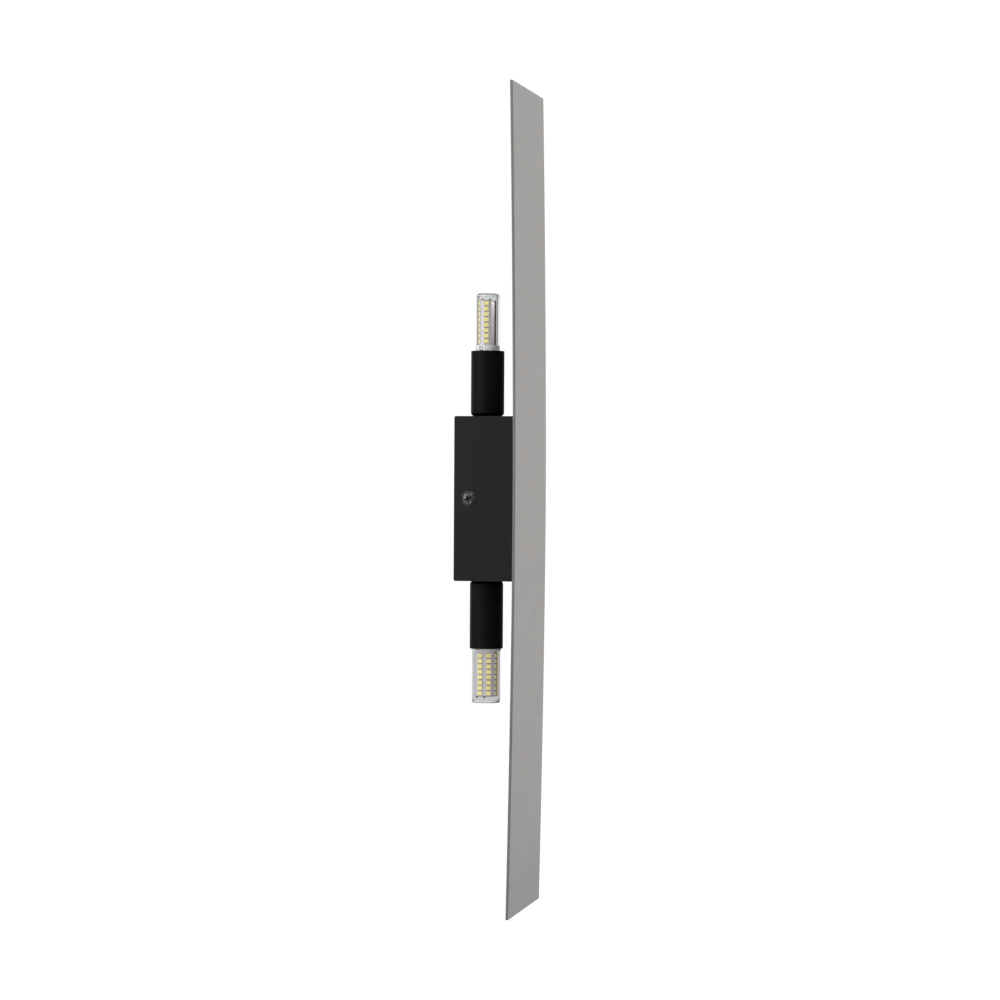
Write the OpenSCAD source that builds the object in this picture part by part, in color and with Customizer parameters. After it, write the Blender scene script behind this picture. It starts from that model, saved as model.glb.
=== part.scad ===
// Wall sconce that lights up and down: a bowed front panel on a folded wall housing, with a two-pin
// lamp in a round sleeve above and below. Millimetres. The wall is the plane y = 0, the light faces
// -Y, +Z is up, and the origin is the middle of the wall screws.

/* [Panel] */
// Height of the front panel
panel_l = 600; // [400:10:900]
// Width of the front panel
panel_w = 120; // [60:5:200]
// Thickness of the front panel
panel_t = 2; // [1:0.5:4]
// How far the panel's middle stands in front of its ends
panel_bow = 3.6; // [0:0.1:12]
// How the bow gathers at the middle: 2 is an even curve, less is straighter towards the ends
panel_bow_power = 1.65; // [1.2:0.05:3]
// How far the panel's middle hangs below the housing's middle
panel_drop = 0.8; // [-4:0.1:4]
// Distance between the two studs on the panel's back
stud_spacing = 60; // [40:1:80]
// Diameter of a panel stud
stud_d = 5; // [4:0.5:6]
// Length of a panel stud
stud_l = 9; // [8:0.5:12]

/* [Housing] */
// Width of the housing
housing_w = 50; // [48:1:80]
// Depth of the housing, from the wall to its front face
housing_d = 50; // [46:1:80]
// Height of the housing
housing_h = 120; // [112:2:200]
// Sheet thickness of the housing
housing_t = 1.2; // [0.8:0.1:2]
// Outer radius of the housing's folded front edges
housing_bend_r = 1.5; // [0.5:0.1:3]
// Corner radius of the housing's sides at the wall
housing_corner_r = 1.2; // [0.4:0.1:3]

/* [Sleeves] */
// Outer diameter of a sleeve
sleeve_d = 24.4; // [24:0.1:30]
// Wall of a sleeve
sleeve_t = 1; // [0.6:0.1:1.2]
// Thickness of a sleeve's floor
sleeve_floor = 2.5; // [1.5:0.1:4]
// Corner radius round a sleeve's foot
sleeve_foot_r = 3.2; // [0.5:0.1:3.4]
// Distance of the sleeves' axis from the wall
sleeve_y = 19.5; // [16:0.5:30]
// Length of the upper sleeve
upper_sleeve_l = 48; // [46:0.5:60]
// Length of the lower sleeve
lower_sleeve_l = 50; // [46:0.5:60]

/* [Lamps] */
// Height of a lampholder's face above the housing
holder_reach = 44; // [42:0.5:46]
// Length of a lamp from the lampholder's face to its free end
lamp_l = 46; // [44:0.5:60]
// Longer side of a lamp's oval section
lamp_long = 20.8; // [19.6:0.1:21.2]
// Shorter side of a lamp's oval section
lamp_short = 15.8; // [14.8:0.1:16.4]
// Wall of a lamp's clear cover
cover_t = 1; // [0.6:0.1:1.2]
// Thickness of the cover's closed end
cover_end_t = 2; // [1:0.1:3]
// Edge radius of the cover's closed end
cover_edge_r = 1.8; // [0.5:0.1:2.4]
// Height of a lamp's collar above the lampholder's face
collar_h = 8; // [6:0.5:9]
// How far the collar stands out round the cover
collar_lip = 0.5; // [0.2:0.1:0.6]
// Width of a light-emitting chip
chip_w = 3.5; // [3:0.1:3.8]
// Height of a light-emitting chip
chip_h = 2.8; // [2:0.1:3.2]
// Thickness of a light-emitting chip
chip_t = 0.8; // [0.5:0.1:0.9]
// Rows of chips along a lamp
chip_rows = 8; // [4:1:8]
// Distance between rows of chips
chip_pitch = 3.95; // [3.6:0.05:4.2]
// Columns of chips round a lamp
chip_columns = 6; // [3:1:6]
// Distance between columns of chips, round the board
column_pitch = 6.3; // [5:0.1:6.6]
// Thickness of the bent circuit board
board_t = 0.6; // [0.4:0.1:0.8]
// Length of the bent circuit board
board_l = 33; // [31.5:0.5:35]
// Width of the board's open seam, measured round the board
seam_gap = 7.8; // [6:0.1:9]
// Middle of the upper board's seam, measured round the board
upper_seam = 7.8; // [-20:0.1:20]
// Middle of the lower board's seam, measured round the board
lower_seam = -1; // [-20:0.1:20]
// Distance between a lamp's pins
pin_pitch = 9; // [8.6:0.1:9.2]
// Length of a lamp's pins
pin_l = 11; // [9:0.5:11]
// Diameter of the pins' wire
pin_wire_d = 0.8; // [0.6:0.1:1]
// Width of a pin's loop
pin_loop_w = 3.2; // [2.6:0.1:3.4]

/* [Lampholders] */
// Diameter of a ceramic lampholder
holder_d = 20; // [19.4:0.1:20.4]
// Length of a ceramic lampholder
holder_l = 28; // [26:0.5:29]
// Thickness of the bridge that carries a lampholder
bridge_t = 1; // [0.8:0.1:1.2]
// Outer diameter of the hollow nipples
nipple_d = 10; // [8:0.5:10]
// Bore of the hollow nipples
nipple_bore = 7.6; // [6:0.1:8]
// Height of a nipple nut
nipple_nut_h = 3; // [2:0.5:4]

/* [Bracket] */
// Sheet thickness of the wall bracket
bracket_t = 1.5; // [1:0.1:2]
// Width of the wall bracket
bracket_w = 30; // [28:1:32]
// Height of the wall bracket
bracket_h = 100; // [96:1:108]
// Height of the bracket's side tabs
tab_h = 18; // [14:1:24]
// How far the side tabs reach from the wall
tab_reach = 18; // [16:0.5:24]
// Distance between the wall screws
wall_screw_spacing = 70; // [66:1:76]
// Width of a wall screw's slot
slot_w = 5; // [4:0.5:6]
// Length of a wall screw's slot
slot_l = 12; // [8:0.5:12]
// Diameter of the bracket's cable hole
cable_hole_d = 12; // [10:0.5:13]
// Bore of the cable bushing
bushing_bore = 8; // [6:0.5:9]
// Distance of the side screws from the wall
side_screw_y = 10.8; // [9:0.1:12]
// Diameter of a side screw
side_screw_d = 4; // [3:0.5:5]
// Diameter of a side screw's domed head
side_head_d = 11; // [8:0.5:12]
// Height of a side screw's domed head
side_head_h = 3.2; // [2:0.1:4]

/* [Wiring] */
// Diameter of an insulated wire
wire_d = 1.6; // [1.2:0.1:1.8]
// Distance between the terminal block's poles
pole_pitch = 9; // [8.6:0.1:9.4]
// Depth of the terminal block along the wires
block_l = 16; // [14:0.5:17]

/* [Hidden] */
$fn = 64;

// Colours, as the photograph shows them or as such pieces usually are.
nickel = [0.63, 0.61, 0.6];
black_paint = [0.12, 0.12, 0.125];
zinc = [0.72, 0.73, 0.75];
brass = [0.8, 0.65, 0.35];
ceramic = [0.93, 0.92, 0.88];
clear = [0.85, 0.88, 0.9, 0.35];
phosphor = [0.95, 0.9, 0.55];

// Clearances.
thread_gap = 0.05; // a threaded shank in its thread, modelled plain
hole_gap = 0.3; // a screw or stud through a plain hole
slip = 0.3; // pieces that pull apart
seat_gap = 0.05; // faces that touch
cut = 1; // how far a cutter runs past the face that it cuts

// The panel's bow.
panel_steps = 32;
panel_seat_z = housing_h / 2 + panel_drop;
// How far the panel's back stands in front of its ends, at a height from its own middle
function bow_at(z) = panel_bow * (1 - pow(abs(z) * 2 / panel_l, panel_bow_power));
// Where the panel's back is, at a height from its own middle
function panel_back(z) = -(housing_d + seat_gap + bow_at(z) - bow_at(panel_seat_z));
washer_t = 1;
stud_nut_h = 4;
stud_nut_w = 8;
stud_washer_d = 10;

// The two ends, each in its own frame: x along the lamp's longer side, z away from the housing.
nipple_washer_t = 0.8;
nipple_washer_d = 18;
nipple_nut_w = 14;
nipple_thread_proud = 1;
nipple_low = -(housing_t + nipple_washer_t + nipple_nut_h + nipple_thread_proud);
bridge_z = sleeve_floor + nipple_nut_h;
nipple_high = bridge_z + bridge_t + nipple_thread_proud;
sleeve_bore_r = sleeve_d / 2 - sleeve_t;
rim_r = 0.3;

// Lampholder: flats at its sides for the bridge's legs.
holder_z = holder_reach - holder_l;
holder_flat_depth = 1.7;
holder_flat = holder_d / 2 - holder_flat_depth;
leg_w = 8;
leg_overlap = 8; // how far a leg reaches up its flat
leg_top = holder_z + leg_overlap;
holder_screw_z = holder_z + leg_overlap / 2;
holder_screw_d = 3;
holder_screw_l = 4;
holder_head_d = 4.6;
holder_head_h = 1.2;
bridge_air = 1; // between the bridge and the sleeve's bore
bridge_r = sleeve_bore_r - bridge_air;
plug_side = 2.5; // how far the plug reaches past the pins' middles
plug = [pin_pitch + 2 * plug_side, 9, 9.8];
plug_corner_r = 2;
plug_room = plug[2] + 0.4;
well_air = 0.7;
well = [pin_loop_w + 2 * well_air, 2.6, pin_l + 0.9];
well_floor = holder_reach - plug_room - well[2];
lead_hole_d = wire_d + 2 * hole_gap;
leaf_t = 0.4;
leaf_h = 8;
leaf_w = pin_loop_w;
leaf_gap = pin_wire_d / 2 + 0.1;

// Lamp: an oval is two half circles of radius r, joined by straight sides of half length c.
oval_c = (lamp_long - lamp_short) / 2;
oval_steps = 48;
cover_r = lamp_short / 2;
collar_r = cover_r + collar_lip;
chip_air = 0.35;
board_r = cover_r - cover_t - chip_air - chip_t;
board_z = collar_h;
chip_inset = 3; // from the board's foot to the middle of the first row
flat_margin = 0.25;
collar_edge = 0.6;
pin_root = 3; // how far the pins' legs are held in the plug
driver_w = 9.6;
driver_t = 1;
driver_l = 24;
driver_foot = -5;
driver_pocket = [driver_w + 0.8, 6.4, collar_h + 6];
capacitor_d = 4;
capacitor_l = 9;
capacitor_z = 9;
rectifier = [5, 1.3, 3];
rectifier_heights = [-2, 2];
snap_w = 2.6;
snap_h = 2.4;
snap_depth = 0.6;
snap_stations = [-3.5, -10.9];

function quarter(r) = r * PI / 2;
function round_trip(r) = 2 * PI * r + 4 * oval_c;
function wrapped(s, r) = s - round_trip(r) * floor(s / round_trip(r));
// Which way an oval of radius r faces, a distance s round it from the middle of its +X end
function oval_angle(s, r) =
    let (w = wrapped(s, r), q = quarter(r), side = 2 * oval_c)
    w < q ? w / r * 180 / PI
    : w < q + side ? 90
    : w < 3 * q + side ? 90 + (w - q - side) / r * 180 / PI
    : w < 3 * q + 2 * side ? 270
    : 270 + (w - 3 * q - 2 * side) / r * 180 / PI;
// The middle of curvature, or the point on the long axis, that faces that place
function oval_spine(s, r) =
    let (w = wrapped(s, r), q = quarter(r), side = 2 * oval_c)
    w < q ? oval_c
    : w < q + side ? oval_c - (w - q)
    : w < 3 * q + side ? -oval_c
    : w < 3 * q + 2 * side ? -oval_c + (w - 3 * q - side)
    : oval_c;
// The point at the distance reach from the long axis, facing the station s of an oval of radius r
function oval_point(s, r, reach) =
    let (a = oval_angle(s, r))
    [oval_spine(s, r) + reach * cos(a), reach * sin(a)];

board_span = round_trip(board_r) - seam_gap;
end_margin = (board_span - (chip_columns - 1) * column_pitch) / 2;
flat_half = chip_w / 2 + flat_margin;
// The station of a column of chips, on a board whose seam has its middle at the station seam
function column_at(k, seam) = seam + (round_trip(board_r) - board_span) / 2 + end_margin
    + k * column_pitch;
// The stations of the board's bends and ends
function board_stations(seam) = concat(
    [column_at(0, seam) - end_margin],
    [for (k = [0 : chip_columns - 1], e = [-1, 1]) column_at(k, seam) + e * flat_half],
    [column_at(chip_columns - 1, seam) + end_margin]
);

// Bracket.
bracket_gap = 0.3;
tab_x = housing_w / 2 - housing_t - bracket_gap;
tab_nut_w = 7;
tab_nut_h = 3.2;
tab_corner_r = 3;
bracket_corner_r = 2;
cable_hole_z = 8;
bushing_flange_w = 2;
bushing_flange_d = cable_hole_d + 2 * bushing_flange_w;
bushing_flange_t = 1.7;
side_thread_proud = 0.8; // how far a side screw's tip stands out of its nut
side_thread_end = tab_x - bracket_t - tab_nut_h - side_thread_proud;
recess_w = 1.3;
recess_l = 5.6;
recess_depth = 1.8;

// Terminal block, between the cable hole and the lower wall screw.
block_z = -18;
block_end = 5; // from an outer pole's middle to the block's end
block_w = 2 * (pole_pitch + block_end);
block_low_h = 9;
block_h = 12;
tower_w = 4.4;
insert_d = 5.6;
insert_bore = 4;
insert_inset = 1; // how far an insert stops short of each side of the block
insert_l = block_l - 2 * insert_inset;
pole_h = 5; // from the bracket to a pole's middle
pole_y = -(bracket_t + pole_h);
clamp_d = 3;
clamp_spread = 4.5;
clamp_inset = 1;
clamp_reach = 0.3; // how far a clamping screw reaches into its pole
clamp_end_y = pole_y - insert_bore / 2 + clamp_reach;
tip_gap = 0.2; // between a screw's tip and the wall
fixing_d = 2.5;
fixing_head_d = 4.2;
fixing_head_h = 1.6;
screw_slot_w = 0.6;
screw_slot_depth = 0.8;
earth_x = 9.5;
earth_z = -45.5;
earth_d = 4;
earth_head_d = 7.5;
earth_head_h = 2.6;
lug_t = 0.8;
lug_d = 8.5;
lug_neck = 2;
barrel_d = 3;
barrel_l = 4;
barrel_gap = 0.1; // round the wire

// Wires. Each starts at its contact and ends in its pole, and bends in the housing's free depth.
wire_sides = 8;
wire_steps = 4;
holder_foot_z = housing_h / 2 + holder_z;
contact_z = housing_h / 2 + well_floor;
nipple_top_z = housing_h / 2 + nipple_high;
nipple_foot_z = housing_h / 2 + nipple_low;
lead_x = 1.9;
lead_sway = 0.6; // how far a lead strays from its straight way
lead_tip_gap = 0.1; // between a lead's tip and its contact
neck = 5; // above the nipple, where a pair of leads draws together
pair_x = wire_d / 2 + 0.1;
block_foot_z = block_z - block_l / 2;
grip = 6; // how far the wires reach into their poles
wire_tip_z = block_foot_z + grip;
pole_foot = 2; // below the block, where a wire is straight again
turn_room = 12; // below the block, where the wires turn up
aside = 11; // how far to the side the upper lamp's wires pass the block
aside_z = housing_h / 15;

// The Y of a point between the sleeves' axis and the poles
function in_depth(share) = -sleeve_y + (pole_y + sleeve_y) * share;

function upper_route(side) = [
    [side * pin_pitch / 2, -sleeve_y, contact_z - lead_tip_gap],
    [side * pin_pitch / 2, -sleeve_y, holder_foot_z],
    [side * (lead_x + lead_sway), -sleeve_y, nipple_top_z + neck],
    [side * lead_x, -sleeve_y, nipple_top_z],
    [side * lead_x, -sleeve_y, nipple_foot_z],
    [side * (lead_x + lead_sway), -sleeve_y, housing_h / 3],
    [side * aside * 0.45, -sleeve_y - lead_sway, housing_h / 8],
    [side * aside * 0.82, -sleeve_y - 2 * lead_sway, -aside_z],
    [side * aside, -sleeve_y + 2 * lead_sway, block_foot_z],
    [side * (aside + lead_sway), in_depth(0.35), block_foot_z - turn_room * 0.8],
    [side * aside, in_depth(0.73), block_foot_z - turn_room],
    [side * (pole_pitch + pair_x + lead_sway / 2), pole_y - lead_sway, block_foot_z - turn_room * 0.66],
    [side * (pole_pitch + pair_x), pole_y, block_foot_z - pole_foot],
    [side * (pole_pitch + pair_x), pole_y, wire_tip_z]
];
function lower_route(side) = [
    [0, -sleeve_y + side * pin_pitch / 2, lead_tip_gap - contact_z],
    [0, -sleeve_y + side * pin_pitch / 2, -holder_foot_z],
    [0, -sleeve_y + side * (lead_x + lead_sway), -nipple_top_z - neck],
    [0, -sleeve_y + side * lead_x, -nipple_top_z],
    [0, -sleeve_y + side * lead_x, -nipple_foot_z],
    [side * lead_x * 0.8, in_depth(0.08) + side * (lead_x - lead_sway), neck - nipple_foot_z],
    [side * pole_pitch * 0.55, in_depth(0.38), block_foot_z - turn_room * 1.4],
    [side * pole_pitch * 0.78, in_depth(0.77), block_foot_z - turn_room],
    [side * (pole_pitch - pair_x), pole_y - lead_sway, block_foot_z - turn_room * 0.6],
    [side * (pole_pitch - pair_x), pole_y, block_foot_z - pole_foot],
    [side * (pole_pitch - pair_x), pole_y, wire_tip_z]
];
lug_entry = [earth_x - lug_d / 2 - barrel_l, -(bracket_t + barrel_d / 2)];
earth_route = [
    [0, pole_y, wire_tip_z],
    [0, pole_y, block_foot_z - pole_foot],
    [-lead_sway, pole_y - lead_sway, block_foot_z - turn_room * 0.7],
    [-lead_x, pole_y + lead_sway, earth_z + neck],
    [-lead_x * 0.8, lug_entry[1] - lead_sway, earth_z + lead_sway],
    [lug_entry[0] - lead_sway, lug_entry[1], earth_z],
    [lug_entry[0] + barrel_l / 2, lug_entry[1], earth_z]
];

// ---- helpers ----

function unit(v) = v / norm(v);
// A smooth curve through the points, as a list of points with steps on each stretch
function smooth(points, steps) = concat(
    [
        for (i = [0 : len(points) - 2], j = [0 : steps - 1])
            let (
                t = j / steps,
                b = points[i],
                c = points[i + 1],
                a = i > 0 ? points[i - 1] : 2 * b - c,
                d = i < len(points) - 2 ? points[i + 2] : 2 * c - b
            )
            (2 * b + (c - a) * t + (2 * a - 5 * b + 4 * c - d) * t * t
                + (3 * b - a - 3 * c + d) * t * t * t) / 2
    ],
    [points[len(points) - 1]]
);

// A round wire along a smooth curve through the points
module wire(points) {
    path = smooth(points, wire_steps);
    last = len(path) - 1;
    ways = [for (i = [0 : last]) unit(path[min(i + 1, last)] - path[max(i - 1, 0)])];
    first_side = unit(cross(ways[0], [0.31, 0.95, 0.12]));
    sides = [
        for (i = 0, n = first_side; i <= last; i = i + 1,
            n = i <= last ? unit(n - (n * ways[i]) * ways[i]) : n) n
    ];
    rings = [
        for (i = [0 : last], k = [0 : wire_sides - 1])
            let (a = 360 * k / wire_sides, side = sides[i], other = cross(ways[i], side))
            path[i] + wire_d / 2 * (cos(a) * side + sin(a) * other)
    ];
    walls = [
        for (i = [0 : last - 1], k = [0 : wire_sides - 1], half = [0, 1])
            let (
                low = i * wire_sides + k,
                next = i * wire_sides + (k + 1) % wire_sides
            )
            half == 0 ? [low, low + wire_sides, next + wire_sides]
            : [low, next + wire_sides, next]
    ];
    foot = [for (k = [1 : wire_sides - 2]) [0, k, k + 1]];
    top_start = last * wire_sides;
    top = [for (k = [1 : wire_sides - 2]) [top_start, top_start + k + 1, top_start + k]];
    polyhedron(points = rings, faces = concat(walls, foot, top));
}

// The upper end's frame: the lamp's longer side runs from the wall's left to its right.
module upper_end() {
    translate([0, -sleeve_y, housing_h / 2]) rotate([0, 0, 180]) children();
}

// The lower end's frame: the lamp's longer side runs from the wall to the front.
module lower_end() {
    translate([0, -sleeve_y, -housing_h / 2]) rotate([180, 0, 90]) children();
}

// A filled oval with its longer side along X
module oval(r) {
    polygon([
        for (k = [0 : oval_steps - 1]) oval_point(round_trip(r) * k / oval_steps, r, r)
    ]);
}

// A hexagonal nut with its bore along Z
module nut(width, height, bore) {
    difference() {
        cylinder(d = width / cos(30), h = height, $fn = 6);
        translate([0, 0, -cut]) cylinder(d = bore, h = height + 2 * cut);
    }
}

// A flat washer
module washer(d, t, bore) {
    difference() {
        cylinder(d = d, h = t);
        translate([0, 0, -cut]) cylinder(d = bore, h = t + 2 * cut);
    }
}

// A slotted screw along Z, its head's underside at z = 0 and its shank below
module slotted_screw(d, l, head_d, head_h) {
    difference() {
        union() {
            translate([0, 0, -l]) cylinder(d = d, h = l);
            cylinder(d = head_d, h = head_h);
        }
        translate([0, 0, head_h])
            cube([head_d + cut, screw_slot_w, 2 * screw_slot_depth], center = true);
    }
}

// A plate along Y from y = 0 forwards, with rounded corners in X and Z
module upright_plate(w, h, t, r) {
    rotate([90, 0, 0]) linear_extrude(t) rounded_rectangle(w, h, r);
}

// A rectangle with rounded corners, its middle at the origin
module rounded_rectangle(w, h, r) {
    polygon([
        for (corner = [[1, 1, 0], [-1, 1, 90], [-1, -1, 180], [1, -1, 270]], a = [0 : 15 : 90])
            [
                corner[0] * (w / 2 - r) + r * cos(corner[2] + a),
                corner[1] * (h / 2 - r) + r * sin(corner[2] + a)
            ]
    ]);
}

// ---- wall bracket and what is fixed to it ----

module wall_bracket() {
    color(zinc) difference() {
        union() {
            upright_plate(bracket_w, bracket_h, bracket_t, bracket_corner_r);
            translate([-tab_x, -bracket_t, -tab_h / 2]) cube([2 * tab_x, bracket_t, tab_h]);
            for (side = [-1, 1])
                translate([side * (tab_x - bracket_t / 2), 0, 0]) side_tab();
        }
        for (side = [-1, 1]) translate([0, 0, side * wall_screw_spacing / 2]) wall_slot();
        along_y(cable_hole_z, 0, cable_hole_d);
        for (side = [-1, 1])
            along_y(block_z, side * pole_pitch / 2, fixing_d + 2 * thread_gap);
        along_y(earth_z, earth_x, earth_d + 2 * thread_gap);
        side_bore(side_screw_d + 2 * thread_gap);
    }
}

// A side tab, its middle plane at x = 0, with rounded front corners
module side_tab() {
    translate([-bracket_t / 2, 0, 0]) rotate([90, 0, 90]) linear_extrude(bracket_t)
        polygon(concat(
            [[0, tab_h / 2], [0, -tab_h / 2]],
            [
                for (a = [0 : 15 : 90])
                    [
                        -(tab_reach - tab_corner_r + tab_corner_r * sin(a)),
                        -(tab_h / 2 - tab_corner_r + tab_corner_r * cos(a))
                    ]
            ],
            [
                for (a = [90 : -15 : 0])
                    [
                        -(tab_reach - tab_corner_r + tab_corner_r * sin(a)),
                        tab_h / 2 - tab_corner_r + tab_corner_r * cos(a)
                    ]
            ]
        ));
}

// A cutter for an upright slot through the bracket
module wall_slot() {
    for (side = [-1, 1])
        translate([0, cut, side * (slot_l - slot_w) / 2]) rotate([90, 0, 0])
            cylinder(d = slot_w, h = bracket_t + 2 * cut);
    translate([-slot_w / 2, -bracket_t - cut, -(slot_l - slot_w) / 2])
        cube([slot_w, bracket_t + 2 * cut, slot_l - slot_w]);
}

// A cutter for a round hole through the bracket at a height z and a place x
module along_y(z, x, d) {
    translate([x, cut, z]) rotate([90, 0, 0]) cylinder(d = d, h = bracket_t + 2 * cut);
}

// A cutter for a bore on the side screws' axis, right across the light
module side_bore(d) {
    translate([-housing_w, -side_screw_y, 0]) rotate([0, 90, 0])
        cylinder(d = d, h = 2 * housing_w);
}

module tab_nuts() {
    color(zinc) for (side = [-1, 1])
        translate([side * (tab_x - bracket_t), -side_screw_y, 0])
            rotate([0, -side * 90, 0])
                nut(tab_nut_w, tab_nut_h, side_screw_d + 2 * thread_gap);
}

module cable_bushing() {
    color([0.08, 0.08, 0.08]) translate([0, 0, cable_hole_z]) rotate([90, 0, 0])
        difference() {
            union() {
                cylinder(d = cable_hole_d - 2 * seat_gap, h = bracket_t + seat_gap);
                translate([0, 0, bracket_t + seat_gap])
                    cylinder(d = bushing_flange_d, h = bushing_flange_t);
            }
            translate([0, 0, -cut])
                cylinder(d = bushing_bore, h = bracket_t + bushing_flange_t + 2 * cut);
        }
}

module terminal_block() {
    front = bracket_t + block_h;
    color([0.92, 0.92, 0.9]) difference() {
        union() {
            translate([-block_w / 2, -bracket_t - block_low_h, block_z - block_l / 2])
                cube([block_w, block_low_h - seat_gap, block_l]);
            for (pole = [-1 : 1])
                translate([pole * pole_pitch - tower_w / 2, -front, block_z - block_l / 2])
                    cube([tower_w, block_h - block_low_h + cut, block_l]);
        }
        for (pole = [-1 : 1]) {
            translate([pole * pole_pitch, pole_y, block_z - block_l / 2 - cut])
                cylinder(d = insert_d + 2 * seat_gap, h = block_l + 2 * cut);
            for (side = [-1, 1])
                translate([pole * pole_pitch, pole_y, block_z + side * clamp_spread / 2])
                    rotate([90, 0, 0]) cylinder(d = clamp_d + 2 * thread_gap, h = front);
        }
        for (side = [-1, 1])
            translate([side * pole_pitch / 2, cut, block_z]) rotate([90, 0, 0])
                cylinder(d = fixing_d + 2 * hole_gap, h = front + 2 * cut);
    }
}

module terminal_inserts() {
    color(brass) for (pole = [-1 : 1]) difference() {
        translate([pole * pole_pitch, pole_y, block_z - insert_l / 2])
            cylinder(d = insert_d, h = insert_l);
        translate([pole * pole_pitch, pole_y, block_z - insert_l / 2 - cut])
            cylinder(d = insert_bore, h = insert_l + 2 * cut);
        for (side = [-1, 1])
            translate([pole * pole_pitch, pole_y, block_z + side * clamp_spread / 2])
                rotate([90, 0, 0]) cylinder(d = clamp_d + 2 * thread_gap, h = insert_d);
    }
}

module terminal_screws() {
    front_y = -(bracket_t + block_h - clamp_inset);
    color(zinc) for (pole = [-1 : 1], side = [-1, 1])
        translate([pole * pole_pitch, clamp_end_y, block_z + side * clamp_spread / 2])
            rotate([90, 0, 0]) difference() {
                cylinder(d = clamp_d, h = clamp_end_y - front_y);
                translate([0, 0, clamp_end_y - front_y])
                    cube([clamp_d + cut, screw_slot_w, 2 * screw_slot_depth], center = true);
            }
}

module block_screws() {
    head_y = -(bracket_t + block_low_h + seat_gap);
    color(zinc) for (side = [-1, 1])
        translate([side * pole_pitch / 2, head_y, block_z]) rotate([90, 0, 0])
            slotted_screw(fixing_d, -head_y - tip_gap, fixing_head_d, fixing_head_h);
}

module earth_screw() {
    head_y = -(bracket_t + lug_t + 2 * seat_gap);
    color(brass) translate([earth_x, head_y, earth_z]) rotate([90, 0, 0])
        slotted_screw(earth_d, -head_y - tip_gap, earth_head_d, earth_head_h);
}

module earth_lug() {
    color(zinc) translate([earth_x, -bracket_t - seat_gap, earth_z]) rotate([90, 0, 0])
        difference() {
            union() {
                cylinder(d = lug_d, h = lug_t);
                translate([-lug_d / 2 - lug_neck, -barrel_d / 2, 0])
                    cube([2 * lug_neck, barrel_d, lug_t]);
                translate([-lug_d / 2 - barrel_l, 0, barrel_d / 2]) rotate([0, 90, 0])
                    cylinder(d = barrel_d, h = barrel_l);
            }
            translate([0, 0, -cut])
                cylinder(d = earth_d + 2 * hole_gap, h = lug_t + 2 * cut);
            translate([-lug_d / 2 - barrel_l - cut, 0, barrel_d / 2]) rotate([0, 90, 0])
                cylinder(d = wire_d + 2 * barrel_gap, h = barrel_l + 2 * cut);
        }
}

module earth_wire() {
    color([0.45, 0.62, 0.2]) wire(earth_route);
}

module live_wires() {
    color([0.45, 0.25, 0.12]) {
        wire(upper_route(1));
        wire(lower_route(1));
    }
}

module neutral_wires() {
    color([0.15, 0.3, 0.65]) {
        wire(upper_route(-1));
        wire(lower_route(-1));
    }
}

// ---- housing, its side screws and the front panel ----

module housing() {
    color(black_paint) difference() {
        intersection() {
            rotate([90, 0, 90]) linear_extrude(housing_w + 2 * cut, center = true)
                housing_side();
            linear_extrude(housing_h + 2 * cut, center = true) housing_plan();
        }
        translate([housing_t - housing_w / 2, housing_t - housing_d, housing_t - housing_h / 2])
            cube([housing_w - 2 * housing_t, housing_d + cut, housing_h - 2 * housing_t]);
        side_bore(side_screw_d + 2 * hole_gap);
        for (side = [-1, 1]) {
            translate([0, -housing_d - cut, side * stud_spacing / 2 - panel_drop])
                rotate([-90, 0, 0]) cylinder(d = stud_d + 2 * hole_gap, h = housing_t + 2 * cut);
            translate([0, -sleeve_y, side * housing_h / 2])
                cylinder(d = nipple_d + 2 * hole_gap, h = 4 * housing_t, center = true);
        }
    }
}

// The housing seen from its side: y across, z up, rounded at the wall
module housing_side() {
    r = housing_corner_r;
    polygon(concat(
        [[-housing_d, housing_h / 2], [-housing_d, -housing_h / 2]],
        [for (a = [0 : 15 : 90]) [-r + r * sin(a), -housing_h / 2 + r - r * cos(a)]],
        [for (a = [90 : -15 : 0]) [-r + r * sin(a), housing_h / 2 - r + r * cos(a)]]
    ));
}

// The housing seen from above: rounded at its folded front edges
module housing_plan() {
    r = housing_bend_r;
    x = housing_w / 2;
    polygon(concat(
        [[x, 0], [-x, 0]],
        [for (a = [0 : 15 : 90]) [-x + r - r * cos(a), -housing_d + r - r * sin(a)]],
        [for (a = [90 : -15 : 0]) [x - r + r * cos(a), -housing_d + r - r * sin(a)]]
    ));
}

// A side screw along +X, its head's underside at x = 0
module side_screw() {
    shank = housing_w / 2 + seat_gap - side_thread_end;
    dome_r = (side_head_d * side_head_d / 4 + side_head_h * side_head_h) / (2 * side_head_h);
    rotate([0, 90, 0]) difference() {
        union() {
            translate([0, 0, -shank]) cylinder(d = side_screw_d, h = shank + cut / 2);
            intersection() {
                cylinder(d = side_head_d, h = side_head_h);
                translate([0, 0, side_head_h - dome_r]) sphere(dome_r);
            }
        }
        for (turn = [0, 90]) rotate([0, 0, turn])
            translate([0, 0, side_head_h])
                cube([recess_l, recess_w, 2 * recess_depth], center = true);
    }
}

module side_screw_left() {
    color([0.16, 0.16, 0.17])
        translate([-housing_w / 2 - seat_gap, -side_screw_y, 0]) rotate([0, 0, 180])
            side_screw();
}

module side_screw_right() {
    color([0.16, 0.16, 0.17])
        translate([housing_w / 2 + seat_gap, -side_screw_y, 0]) side_screw();
}

module front_panel() {
    heights = [for (k = [0 : panel_steps]) panel_l * (k / panel_steps - 0.5)];
    outline = concat(
        [for (z = heights) [panel_back(z), z - panel_drop]],
        [for (k = [panel_steps : -1 : 0]) let (z = heights[k]) [panel_back(z) - panel_t, z - panel_drop]]
    );
    color(nickel) rotate([90, 0, 90]) linear_extrude(panel_w, center = true) polygon(outline);
}

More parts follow.
